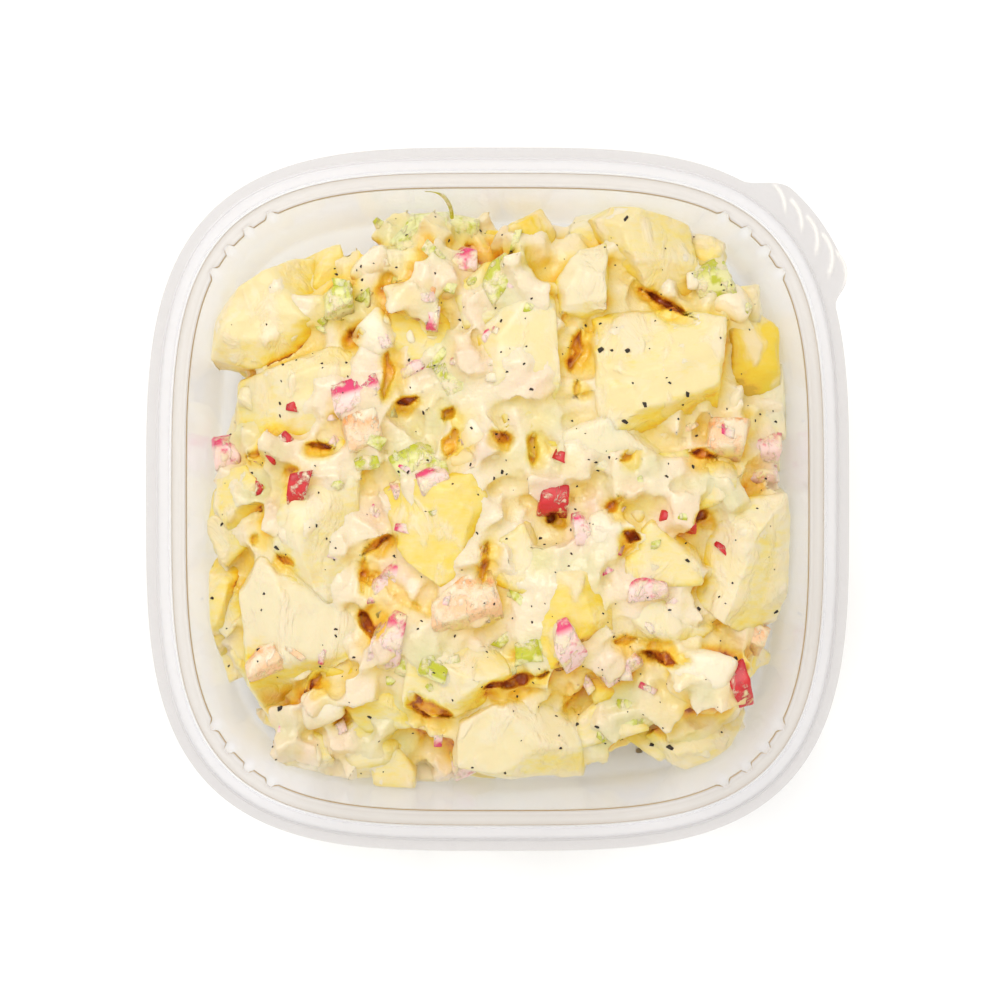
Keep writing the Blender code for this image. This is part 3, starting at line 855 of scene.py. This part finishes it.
lumps = {
    # where chopped pieces lie thick and wholly coated, as x, y, half width, half length and number
    "places": (
        (-9, 46, 20, 12, 42), (-8, 19, 20, 14, 30), (20, -4, 16, 16, 30), (-48, 5, 9, 9, 12),
        (-32, -47, 17, 9, 20), (30, -38, 18, 14, 24), (40, 4, 14, 8, 14), (-20, -30, 10, 12, 14),
    ),
    "size": (3.2, 9.0),
    "highest": 2.4 * mm,       # above the general height of the heap
    "sharpness": 0.75,
    "wobble": 0.2,
    # plain cream, then what shows a little of celery, onion, carrot and yellow potato through its coat
    "tints": ((1, 1, 1), (0.80, 0.89, 0.64), (1, 0.86, 0.88), (1, 0.82, 0.76), (0.97, 0.92, 0.5),
              (0.84, 0.72, 0.78)),
    "shares": (8, 10, 2, 1, 3, 1),
    "seed": 23,
}


def makeLumps(tree, general):
    # chopped pieces of every kind under one coat of dressing, strewn where the heap lies low
    draw = random.Random(lumps["seed"])
    masters = [masterBlock("coated", lumps["seed"] + i, lumps["sharpness"], lumps["wobble"], 2, cuts)
               for i, cuts in enumerate(((topCut,), (sideCut,), (sideCut, backCut)))]
    made, tints = [], []
    for x, y, halfWidth, halfLength, number in lumps["places"]:
        for _ in range(number):
            angle, far = draw.uniform(0, 2 * pi), draw.random() ** 0.5
            lumpX, lumpY = x + halfWidth * far * cos(angle), y + halfLength * far * sin(angle)
            size = [draw.triangular(*lumps["size"]) for _ in range(3)]
            turn, lean = draw.uniform(0, 180), draw.uniform(-35, 35)
            tint = draw.choices(lumps["tints"], lumps["shares"])[0]
            master, proud = draw.choice(masters), draw.uniform(0.15, 0.45)
            spot = dropOn(tree, lumpX * mm, lumpY * mm)
            if spot is None or spot.z > general.at(np.array([spot]))[0] + lumps["highest"]:
                continue
            top = spot.z / mm + proud * size[2]
            made.append(copyTo(master, (lumpX, lumpY, top, *size, turn, lean), 0.5))
            middle = (lumpX * mm, lumpY * mm, (top - size[2] / 2) * mm)
            tints.append((middle, max(size) * 0.75 * mm, tint))
    discard(masters)
    return made, tints


strewnHalf = 57          # half the side of the square that crumbs and pepper fall on, in millimetres
dressing = {
    "bedDepth": 3.2 * mm,      # below the tops of the pieces round about
    "bedInset": 14 * mm,
    "bedLowest": 8 * mm,
    "bedSpread": 4,            # rounds in which the height of the tops spreads, and then evens out
    "bedSoften": 30,
    "bedShoulder": 0.35,       # 1 is a round dome, and near 0 it is flat with upright sides
    "voxel": 0.8 * mm,
    "settle": 2,               # smoothing rounds, which fill the creases between the pieces
    "sink": 0.5 * mm,          # below the faces of the pieces
    "smearSize": 6 * mm,
    "smearHeight": 2.0 * mm,
    "curdSize": 2.4 * mm,
    "curdHeight": 0.9 * mm,
    "crumbs": 900,
    "crumbSize": (3.0, 10.0),
    "crumbsOnPieces": (0.12, 0.6, 0.3),        # how many lie on top of a piece, how small and how flat
    "crumbLowest": 8 * mm,
    "bedRise": 2.2 * mm,       # what lies higher than this above the bed lies on a piece
    "hollowDepth": 3.6 * mm,
    "hollowLowest": 12 * mm,
    "ragSize": 2.2 * mm,       # of the ragged edges of the hollows, and of their bends
    "wanderSize": 4 * mm,
    # gaps between the pieces, as x, y, length, width, turn and how dark they are painted as shade, which
    # also sets how deep they sink
    "hollows": (
        (-28.6, 33.5, 3.2, 2.0, -30, 0.9), (-22.4, 24.7, 10, 2.2, 80, 0.75), (-18.4, 20, 5, 1.4, 15, 0.9),
        (-9.9, 17, 3.4, 2.2, 60, 0.8), (-9.5, 11.4, 6, 3.2, 75, 0.75), (-36, 10.8, 5.5, 1.2, -5, 0.95),
        (-49.3, 9, 3.5, 1.4, 20, 0.7), (1, 12.7, 4.8, 2.0, -35, 0.85), (6.9, 10.2, 6.5, 2.2, 85, 0.75),
        (34.5, 39.5, 11, 1.5, -30, 0.95), (15.6, 30.3, 9.5, 2.2, 78, 0.85), (15.8, 22.3, 3.8, 1.4, 80, 0.7),
        (26.2, 9, 4.6, 1.4, 35, 0.75), (41.3, 9, 6.5, 1.8, -10, 0.9), (-26.4, -25.1, 6, 2.6, 105, 1),
        (-24.6, -9.1, 7, 1.2, 35, 0.8), (-27, -15.1, 9, 1.5, 88, 0.7), (-42.7, -12.3, 4.6, 1.3, -32, 0.75),
        (-49.3, -8.1, 3, 1.4, 60, 0.6), (-2.7, -12.6, 9, 1.6, 80, 0.7), (-20.2, -18.6, 14, 2.6, -42, 0.5),
        (-36.9, -37, 5, 1.5, 45, 0.7), (-13.4, -42, 9, 3.6, -15, 0.85), (-15.5, -40.5, 3.5, 1.4, -60, 0.9),
        (10.8, -3.7, 2.6, 1.8, 60, 1), (27, -7.3, 3.6, 2.2, -25, 1), (23.4, -1, 4.4, 2.2, 30, 0.75),
        (40.9, -3.3, 4, 2, 45, 0.75), (3.5, -36.6, 13, 2.0, 15, 0.95), (14.4, -40.6, 8.5, 1.8, 88, 0.4),
        (33.2, -32.2, 9, 1.9, 158, 1), (25.8, -28.4, 5, 1.8, 15, 0.7),
    ),
    # white smears left on the tub's floor, as x, y, width, length and turn
    "smears": ((32.7, -55.3, 2.6, 1.5, 30), (29.4, -52.3, 1.9, 1.3, -20), (31.3, -52.9, 1.5, 1.1, 60)),
    "seed": 5,
}


def makeBed(group):
    # the dressed mass under the pieces, which follows the height of their tops
    relief = Relief(group)
    relief.spread(dressing["bedSpread"])
    relief.soften(dressing["bedSoften"])
    pickNothing()
    bpy.ops.mesh.primitive_uv_sphere_add(segments=128, ring_count=90, radius=1)
    piece = bpy.context.active_object
    points = pointsOf(piece)
    low = tub["sheet"] + 0.2 * mm
    angle = np.arctan2(points[:, 1], points[:, 0])
    reach, _ = tubEdge(angle)
    reach = (reach - dressing["bedInset"] - standBack(angle)) * np.hypot(points[:, 0], points[:, 1])
    laid = np.stack([reach * np.cos(angle), reach * np.sin(angle), np.zeros(len(points))], -1)
    top = np.clip(relief.at(laid) - dressing["bedDepth"], dressing["bedLowest"], None)
    middle = (top + low) / 2
    domed = middle + (top - middle) * np.sign(points[:, 2]) * np.abs(points[:, 2]) ** dressing["bedShoulder"]
    laid[:, 2] = np.where(points[:, 2] < -0.05, low, domed)
    setPoints(piece, laid)
    return piece


def hollowShare(points):
    # 1 in the gaps between the pieces, where the heap sinks into hollows painted dark as shade, and 0
    # outside them
    ragSize, wanderSize = dressing["ragSize"], dressing["wanderSize"]
    ragged = np.array([noise.noise(Vector((x, y, 0)) / ragSize) for x, y in points[:, :2]])
    bent = np.array([noise.noise(Vector((x, y, 9 * mm)) / wanderSize) for x, y in points[:, :2]])
    most = np.zeros(len(points))
    for x, y, length, width, turn, gloom in dressing["hollows"]:
        across, along = points[:, 0] - x * mm, points[:, 1] - y * mm
        c, s = cos(radians(turn)), sin(radians(turn))
        u = (across * c + along * s) / (length / 2 * mm)
        v = (along * c - across * s) / (width / 2 * mm) + bent * 0.7
        # pointed at its ends, as a gap between straight cuts is, crisp on one side and open on the other
        far = np.abs(u) ** 1.3 + np.abs(np.where(v > 0, v, v * 0.75)) ** 1.3
        core = ease((1.35 - far + ragged * 0.5) * 1.5)
        most = np.maximum(most, core * gloom)
        # on the side away from the key light the gap opens gently, and its walls get a golden painted shade
        wide = 1.7 + 2.4 / width
        far = np.abs(u / 1.3) ** 1.5 + np.abs((v + 0.5 * wide) / wide) ** 1.5
        most = np.maximum(most, ease(1.3 - far + ragged * 0.5) * gloom * 0.62)
    return most


def refineHollows(piece):
    # smaller faces where the hollows go down, so that their edges are crisp
    centres = np.empty(len(piece.data.polygons) * 3)
    piece.data.polygons.foreach_get("center", centres)
    centres = centres.reshape(-1, 3)
    near = (hollowShare(centres) > 0.3) & (centres[:, 2] > dressing["hollowLowest"])
    startEdit(piece)
    bpy.context.tool_settings.mesh_select_mode = (False, False, True)
    bpy.ops.mesh.select_all(action="DESELECT")
    endEdit()
    piece.data.polygons.foreach_set("select", near)
    bpy.ops.object.mode_set(mode="EDIT")
    bpy.ops.mesh.subdivide(number_cuts=1)
    bpy.context.tool_settings.mesh_select_mode = (True, False, False)
    endEdit()


def pressHollows(points, deeper):
    out = points.copy()
    high = ease((points[:, 2] - dressing["hollowLowest"]) / (8 * mm))
    out[:, 2] -= (dressing["hollowDepth"] + deeper) * hollowShare(points) ** 1.5 * high
    return out


def treeOf(group):
    verts, faces = [], []
    for piece in group:
        start = len(verts)
        verts += [vertex.co.copy() for vertex in piece.data.vertices]
        faces += [[start + i for i in polygon.vertices] for polygon in piece.data.polygons]
    return BVHTree.FromPolygons(verts, faces)


def makeDressing(group):
    # one creamy skin over everything: the pieces remeshed together, settled into the creases and sunk
    draw = random.Random(dressing["seed"])
    parts = [linked("dressed", piece.data.copy()) for piece in group] + [makeBed(group)]
    tree, bed, general = treeOf(parts), Relief(parts[-1:]), Relief(parts)
    general.soften(25)
    coated, tints = makeLumps(tree, general)
    parts += coated
    crumb = masterBlock("crumb", seed=4, sharpness=0.6, wobble=0.2, level=2, cuts=(topCut,))
    stayShare, smaller, flatter = dressing["crumbsOnPieces"]
    least, most = dressing["crumbSize"]
    for _ in range(dressing["crumbs"]):
        x, y = draw.uniform(-strewnHalf, strewnHalf), draw.uniform(-strewnHalf, strewnHalf)
        turn, lean = draw.uniform(0, 180), draw.uniform(-25, 25)
        size = np.array([draw.triangular(least, most, least) for _ in range(3)])
        stays, proud = draw.random() < stayShare, draw.uniform(0.15, 0.4)
        spot = dropOn(tree, x * mm, y * mm)
        if spot is None or spot.z < dressing["crumbLowest"]:
            continue
        # most of the lumps lie in the bed, and few of them, flatter and smaller, on top of the pieces
        if spot.z > bed.at(np.array([spot]))[0] + dressing["bedRise"]:
            if not stays:
                continue
            size, proud = size * smaller, proud * flatter
        parts.append(copyTo(crumb, (x, y, spot.z / mm + proud * size[2], *size, turn, lean), 0.5))
    discard([crumb])
    piece = joinAs("dressing", parts)
    for name in ("tone", "skin"):
        piece.data.attributes.remove(piece.data.attributes[name])
    useModifier(piece, "REMESH", mode="VOXEL", voxel_size=dressing["voxel"])
    useModifier(piece, "SMOOTH", factor=0.5, iterations=dressing["settle"])
    bulge(piece, "smear", dressing["smearSize"], dressing["smearHeight"],
          0.5 + dressing["sink"] / dressing["smearHeight"])
    bulge(piece, "curd", dressing["curdSize"], dressing["curdHeight"])
    refineHollows(piece)
    smear = masterBlock("smear", seed=6, sharpness=0.2, wobble=0.15, level=2)
    group = [piece] + [copyTo(smear, (x, y, tub["sheet"] / mm + 0.5, width, length, 0.4, turn, 0), 0.5)
                       for x, y, width, length, turn in dressing["smears"]]
    discard([smear])
    return joinAs("dressing", group), tints


skyView = {
    "reach": (1.9, 2.8, 4.0, 6.0, 8.5, 12.0),  # how far off a piece may hide the sky, in millimetres
    "turns": 16,
    "roof": (1.2 * mm, 3 * mm),                # what hangs this high over a spot paints shade on it
    "farSide": (0.6, -0.75, 0),                # faces turned from the key light get a yellower painted shade
    "farShare": 0.42,
    "wallLight": 0.8,                          # painted light through the clear wall, and how far in it comes
    "wallReach": 5 * mm,
    "footLight": 0.42,                         # the same painted light low down, in the gaps between the pieces
    "footReach": 12 * mm,
    "footHeight": 25 * mm,
    "soften": 3,                               # rounds in which neighbours share what they see
}


def smoothedOver(piece, values, rounds):
    # each vertex takes up half of what its neighbours hold
    ends = np.empty(len(piece.data.edges) * 2, np.int32)
    piece.data.edges.foreach_get("vertices", ends)
    first, second = ends.reshape(-1, 2).T
    count = np.maximum(np.bincount(ends, minlength=len(values)), 1)
    for _ in range(rounds):
        around = np.bincount(first, values[second], len(values))
        around += np.bincount(second, values[first], len(values))
        values = (values + around / count) / 2
    return values


def skyOver(group):
    # how open each vertex lies to the sky, which the colours of the food take up as painted shade
    relief = Relief(group)
    for piece in group:
        normals = pointsOf(piece, "normal")
        points = pointsOf(piece) + normals * 0.3 * mm
        seen = np.zeros(len(points))
        for turn in np.arange(skyView["turns"]) * 2 * pi / skyView["turns"]:
            horizon = np.zeros(len(points))
            for far in np.array(skyView["reach"]) * mm:
                there = points[:, :2] + far * np.array((cos(turn), sin(turn)))
                horizon = np.maximum(horizon, (relief.at(there) - points[:, 2]) / far)
            seen += 1 / (1 + 0.6 * horizon * horizon)
        least, span = skyView["roof"]
        # painted shade under what hangs over a spot, and a yellower painted shade on faces turned from the
        # key light
        over = np.clip((relief.at(points + normals * 0.7 * mm) - points[:, 2] - least) / span, 0, 1)
        away = np.clip(normals @ np.array(skyView["farSide"]), 0, 1) * np.clip(normals[:, 2] * 3, 0, 1)
        sky = seen / skyView["turns"] * (1 - 0.75 * over) - skyView["farShare"] * away
        # painted shade deep in the hollows
        sky *= 1 - hollowShare(points)
        # painted light, as comes through the clear wall to what lies against it, and low down also into the
        # gaps there
        gap = wallGap(points)
        atWall = skyView["wallLight"] * ease(1.6 - gap / skyView["wallReach"])
        atFoot = skyView["footLight"] * ease(1.8 - gap / skyView["footReach"])
        lit = np.maximum(atWall, atFoot * ease((skyView["footHeight"] - points[:, 2]) / (8 * mm)))
        paint(piece, "sky", smoothedOver(piece, np.maximum(sky, lit), skyView["soften"]))


# Finishes of the food. Each colour runs from a painted shade deep in a crevice to open under the sky.

skyStops = {
    "potato": ((0.0, (0.34, 0.06, 0.006)), (0.06, (0.70, 0.25, 0.012)), (0.15, (0.84, 0.43, 0.015)),
               (0.30, (0.87, 0.58, 0.02)), (0.46, (0.86, 0.63, 0.07)), (0.64, (0.84, 0.66, 0.19)),
               (0.86, (0.82, 0.675, 0.33))),
    "cream": ((0.0, (0.36, 0.065, 0.008)), (0.06, (0.72, 0.27, 0.015)), (0.15, (0.85, 0.46, 0.02)),
              (0.30, (0.87, 0.60, 0.07)), (0.46, (0.86, 0.655, 0.20)), (0.64, (0.845, 0.685, 0.33)),
              (0.86, (0.84, 0.705, 0.48))),
    "egg": ((0.0, (0.62, 0.26, 0.03)), (0.3, (0.86, 0.63, 0.22)), (0.6, (0.87, 0.72, 0.42)),
            (0.85, (0.88, 0.76, 0.54))),
}


def moistFood(f, colour, roughness, bumps, scatter, coat, coatRoughness):
    # food lets a little light in and has a wet coat
    f.wireOut(f.shader({
        "Base Color": colour,
        "Roughness": roughness.clamped(),
        "Normal": bumps,
        "Subsurface Weight": 0.2,
        "Subsurface Radius": scatter,
        "Subsurface Scale": 2.5 * mm,
        "Coat Weight": coat,
        "Coat Roughness": coatRoughness,
    }))
    return f.material


def creamyCover(f, body, cover, relief):
    # a body colour seen through a skin of dressing, whose cream is the painted shade of the sky ramp
    cream = f.ramp(f.painted("sky"), skyStops["cream"])
    fine = f.grain(1.4 * mm, 3, 0.5)
    return moistFood(f, f.blend(cover, body, cream), cover * -0.1 + 0.42 + fine * 0.12,
                     f.bumps(cover * 0.8 + fine * 0.2, relief), (1.0, 0.55, 0.25), 0.25, 0.25)


def potatoFlesh():
    f = Finish("potatoFlesh")
    tone = f.painted("tone")
    fibre = f.grain(3 * mm, 4, 0.6, shift=(0.2, 0.5, 0), stretch=(1, 2.2, 1))
    # painted shade from the sky ramp, moved deeper where the tone is low
    body = f.ramp(f.painted("sky") + (tone - 0.5) * 0.25 + (fibre - 0.5) * 0.8, skyStops["potato"])
    # paler and waxy where the flesh lets light in, and a deep yellow painted shade in the pieces whose tone
    # is low
    waxy = f.grain(9 * mm, 3, 0.6, stretch=(1, 1.5, 1), swirl=0.6)
    pale = f.blend(1.0, body, (1.0, 1.05, 1.35, 1), "MULTIPLY")
    body = f.blend((waxy.stepped(0.46, 0.66) + (tone - 0.5) * 2.5).clamped(), body, pale)
    body = f.blend((tone * -1.2 - 0.45).clamped(), body, (0.80, 0.55, 0.012, 1))
    cover = f.grain(6 * mm, 4, 0.55, shift=(0.3, 0.1, 0), stretch=(1, 0.6, 1), swirl=0.6).stepped(0.46, 0.68)
    return creamyCover(f, body, cover * 0.75, 0.55 * mm)


def creamDressing():
    f = Finish("creamDressing")
    # what dips gets a yellower painted shade and what stands up is paler, as the same lumps show in the bump
    relief = f.grain(3.4 * mm, 4, 0.55) * 0.7 + f.grain(1.2 * mm, 2, 0.5, shift=(0.4, 0.1, 0.2)) * 0.3
    cream = f.ramp(f.painted("sky") + (relief - 0.5) * 0.5, skyStops["cream"])
    colour = f.blend(1.0, cream, f.painted("tint", "Color"), "MULTIPLY")
    return moistFood(f, colour, relief * 0.2 + 0.25, f.bumps(relief, 0.7 * mm), (1.0, 0.6, 0.3), 0.35, 0.2)


def eggWhite():
    f = Finish("eggWhite")
    # painted shade from the egg's sky ramp
    body = f.ramp(f.painted("sky"), skyStops["egg"])
    cover = f.grain(5 * mm, 3).stepped(0.4, 0.65)
    return creamyCover(f, body, cover * 0.8, 0.4 * mm)


def cutVegetable(name, kind):
    f = Finish(name)
    sky = f.painted("sky")
    patch = f.grain(2.2 * mm, 2, 0.5, shift=(0.1, 0.6, 0.3))
    skinShare = (f.painted("skin") * 1.4 + patch.stepped(kind["patches"], kind["patches"] + 0.2)).clamped()
    body = f.blend(skinShare, kind["flesh"] + (1,), kind["skin"] + (1,))
    # painted shade, brown where the sky is hidden
    shaded = f.blend(sky.stepped(0.05, 0.55), (0.45, 0.22, 0.08, 1), (1, 1, 1, 1))
    body = f.blend(1.0, body, shaded, "MULTIPLY")
    cover = f.grain(3.2 * mm, 4, 0.6, shift=(0.7, 0.2, 0.4)).stepped(*kind["bareness"])
    streaks = f.grain(1.3 * mm, 3, 0.65, stretch=(1, 0.4, 1), swirl=0.8).stepped(0.54, 0.66) * 0.7
    return creamyCover(f, body, (cover * 0.92 + streaks).clamped(), 0.4 * mm)


def groundPepper():
    f = Finish("groundPepper")
    tone = f.ramp(f.grain(0.5 * mm), ((0.3, (0.004, 0.003, 0.002)), (0.7, (0.05, 0.03, 0.015))))
    rough = f.bumps(f.grain(0.2 * mm), 0.1 * mm)
    f.wireOut(f.shader({"Base Color": tone, "Roughness": 0.6, "Normal": rough}))
    return f.material


specks = {
    "placed": (                # the ground pepper that stands out, with its size
        (25.8, 56.4, 1.1), (20.6, 35.3, 0.7), (0.7, 35.7, 0.7), (20.6, 29.9, 1.3), (26, 29.7, 1.2),
        (29.4, 19.0, 1.1), (38.0, 21.1, 1.2), (25.4, 15.6, 1.1), (6.7, 22.0, 0.9), (0.9, 5.6, 0.8),
        (8.6, -7.9, 0.8), (-56, -5.1, 0.8), (-44.5, -9.7, 1.2), (-58, -20.1, 0.9), (-48.3, -30.4, 1.0),
        (-44.1, -42.4, 1.2), (-43.9, 19.4, 0.8), (-43.3, 27.1, 0.7), (39.3, 6.6, 0.8), (20, -46, 1.1),
        (31.3, -50, 0.9), (34.9, -50.4, 1.2), (40.5, -22.1, 1.1), (56.4, -22.9, 0.8), (38.1, -12.3, 1.0),
        (19.6, 7.4, 0.8), (22.4, 8.4, 0.6), (-26, -44, 0.8),
    ),
    "number": 300,             # with those that are placed
    "strewnSize": (0.22, 0.85, 0.3),
    "lowest": 5 * mm,
    "seed": 11,
}


def makeSpecks(tree):
    draw = random.Random(specks["seed"])
    pickNothing()
    bpy.ops.mesh.primitive_ico_sphere_add(subdivisions=1, radius=0.5)
    master = bpy.context.active_object
    startEdit(master)
    bpy.ops.transform.vertex_random(offset=0.16, uniform=1, seed=2, wait_for_input=False)
    endEdit()
    spots = list(specks["placed"])
    while len(spots) < specks["number"]:
        x, y = draw.uniform(-strewnHalf, strewnHalf), draw.uniform(-strewnHalf, strewnHalf)
        spots.append((x, y, draw.triangular(*specks["strewnSize"])))
    group = []
    for x, y, size in spots:
        spot = dropOn(tree, x * mm, y * mm)
        if spot is None or spot.z < specks["lowest"]:
            continue
        place = (x, y, spot.z / mm + size * 0.3, size * draw.uniform(0.7, 1), size * draw.uniform(0.9, 1.5),
                 size * 0.6, draw.uniform(0, 180), draw.uniform(-20, 20))
        group.append(copyTo(master, place, 0))
    discard([master])
    return joinAs("groundPepperSpecks", group)


def finishPiece(piece, material):
    piece.data.materials.clear()
    piece.data.materials.append(material)
    pickOnly(piece)
    bpy.ops.object.shade_smooth()
    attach(piece, "root")
    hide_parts("potato_salad")


def tintDressing(piece, sources):
    # the dressing takes up a little of the colour of what lies in it
    points = pointsOf(piece)
    tint = np.ones((len(points), 4))
    for centre, radius, colour in sources:
        far = np.linalg.norm(points - np.array(centre), axis=1)
        share = (ease(1 - far / radius) * 0.75)[:, None]
        tint[:, :3] = tint[:, :3] * (1 - share) + np.array(colour) * share
    paint(piece, "tint", tint)


def tintSources():
    sources = []
    for kind in (onion, pepper, carrot, celery, eggs):
        for x, y, top, width, length, thickness, _, _ in kind["blocks"]:
            centre = (x * mm, y * mm, (top - thickness / 2) * mm)
            sources.append((centre, max(width, length) * 0.95 * mm, kind["tint"]))
    return sources


def makeSalad():
    potato = makePotatoes()
    print("potatoes cut")
    kinds = {"eggPieces": eggs, "celeryPieces": celery, "onionPieces": onion,
             "redPepperPieces": pepper, "carrotPieces": carrot}
    small = {name: makeDice(name, kind) for name, kind in kinds.items()}
    print("egg and vegetables diced")
    cream, tints = makeDressing([potato, *small.values()])
    print("dressing laid over them")
    tree = treeOf([potato, *small.values(), cream])
    for name, kind in kinds.items():
        small[name] = addBits(small[name], kind, tree)
    small["celeryPieces"] = joinAs("celeryPieces", [small["celeryPieces"], makeStrand()])
    group = [potato, *small.values(), cream]
    for piece in group:
        # each piece of food keeps its own small gap from the tub, in front of the cream, so no faces meet
        isCream = piece == cream
        gap = 0.5 * mm if isCream else 0.12 * mm + 0.32 * mm * np.clip(painted(piece, "tone"), 0, 1)
        setPoints(piece, keepInside(pressHollows(pointsOf(piece), 0 if isCream else 2 * mm), gap))
    skyOver(group)
    tintDressing(cream, tintSources() + tints)
    finishPiece(potato, potatoFlesh())
    for name, kind in kinds.items():
        flesh = eggWhite() if kind is eggs else cutVegetable(name.replace("Pieces", "Flesh"), kind)
        finishPiece(small[name], flesh)
    finishPiece(cream, creamDressing())
    for piece in group:
        print("made", piece.name, "with", len(piece.data.polygons), "faces")
    grains = makeSpecks(treeOf(group))
    finishPiece(grains, groundPepper())
    print("pepper ground over it:", len(grains.data.polygons), "faces")


# Studio: a pale floor, soft light from the back left and a camera straight above

studio = {
    "cameraPlace": (0.48 * mm, -0.16 * mm, 1.05),
    "sensor": 36,
    "rimHeight": 44 * mm,
    "frameWidth": 199.15 * mm,   # what the picture takes in at the height of the rim
    "floorSize": 6,
    "floorHeight": -0.2 * mm,    # just clear of the tub's under face
    "floorColour": (0.95, 0.95, 0.95, 1),
    "keyPlace": (-0.28, 0.45, 0.85),
    "keySize": 0.5,
    "keyPower": 3.1,
    "skyStrength": 0.995,
    "lightSteps": 24,            # light crosses the tub's sheet many times
}


def makeStudio():
    pickNothing()
    bpy.ops.mesh.primitive_plane_add(size=studio["floorSize"], location=(0, 0, studio["floorHeight"]))
    floor = bpy.context.active_object
    floor.name = "floor"
    f = Finish("paleFloor")
    f.wireOut(f.shader({"Base Color": studio["floorColour"], "Roughness": 0.9, "Specular IOR Level": 0.1}))
    floor.data.materials.append(f.material)
    key = linked("key", bpy.data.lights.new("key", "AREA"))
    key.data.shape, key.data.size, key.data.energy = "DISK", studio["keySize"], studio["keyPower"]
    key.location = studio["keyPlace"]
    key.rotation_mode = "QUATERNION"
    key.rotation_quaternion = (-Vector(studio["keyPlace"])).to_track_quat("-Z", "Y")
    world = bpy.data.worlds.new("softSky")
    bpy.context.scene.world = world
    world.use_nodes = True
    world.node_tree.nodes["Background"].inputs["Color"].default_value = (1, 1, 1, 1)
    world.node_tree.nodes["Background"].inputs["Strength"].default_value = studio["skyStrength"]
    bpy.context.scene.view_settings.view_transform = "Standard"
    bpy.context.scene.cycles.transparent_max_bounces = studio["lightSteps"]
    camera = linked("camera", bpy.data.cameras.new("camera"))
    far = studio["cameraPlace"][2] - studio["rimHeight"]
    camera.data.sensor_width = studio["sensor"]
    camera.data.lens = studio["sensor"] * far / studio["frameWidth"]
    camera.location = studio["cameraPlace"]
    bpy.context.scene.camera = camera
    print("studio set")


makeStudio()
clearTub = makeTub()
clearTub.data.materials.append(clearSheet())
clearTub.visible_shadow = False         # clear film lets the soft light through
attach(clearTub, "root")
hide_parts("container")
print("tub formed:", len(clearTub.data.polygons), "faces")
makeSalad()
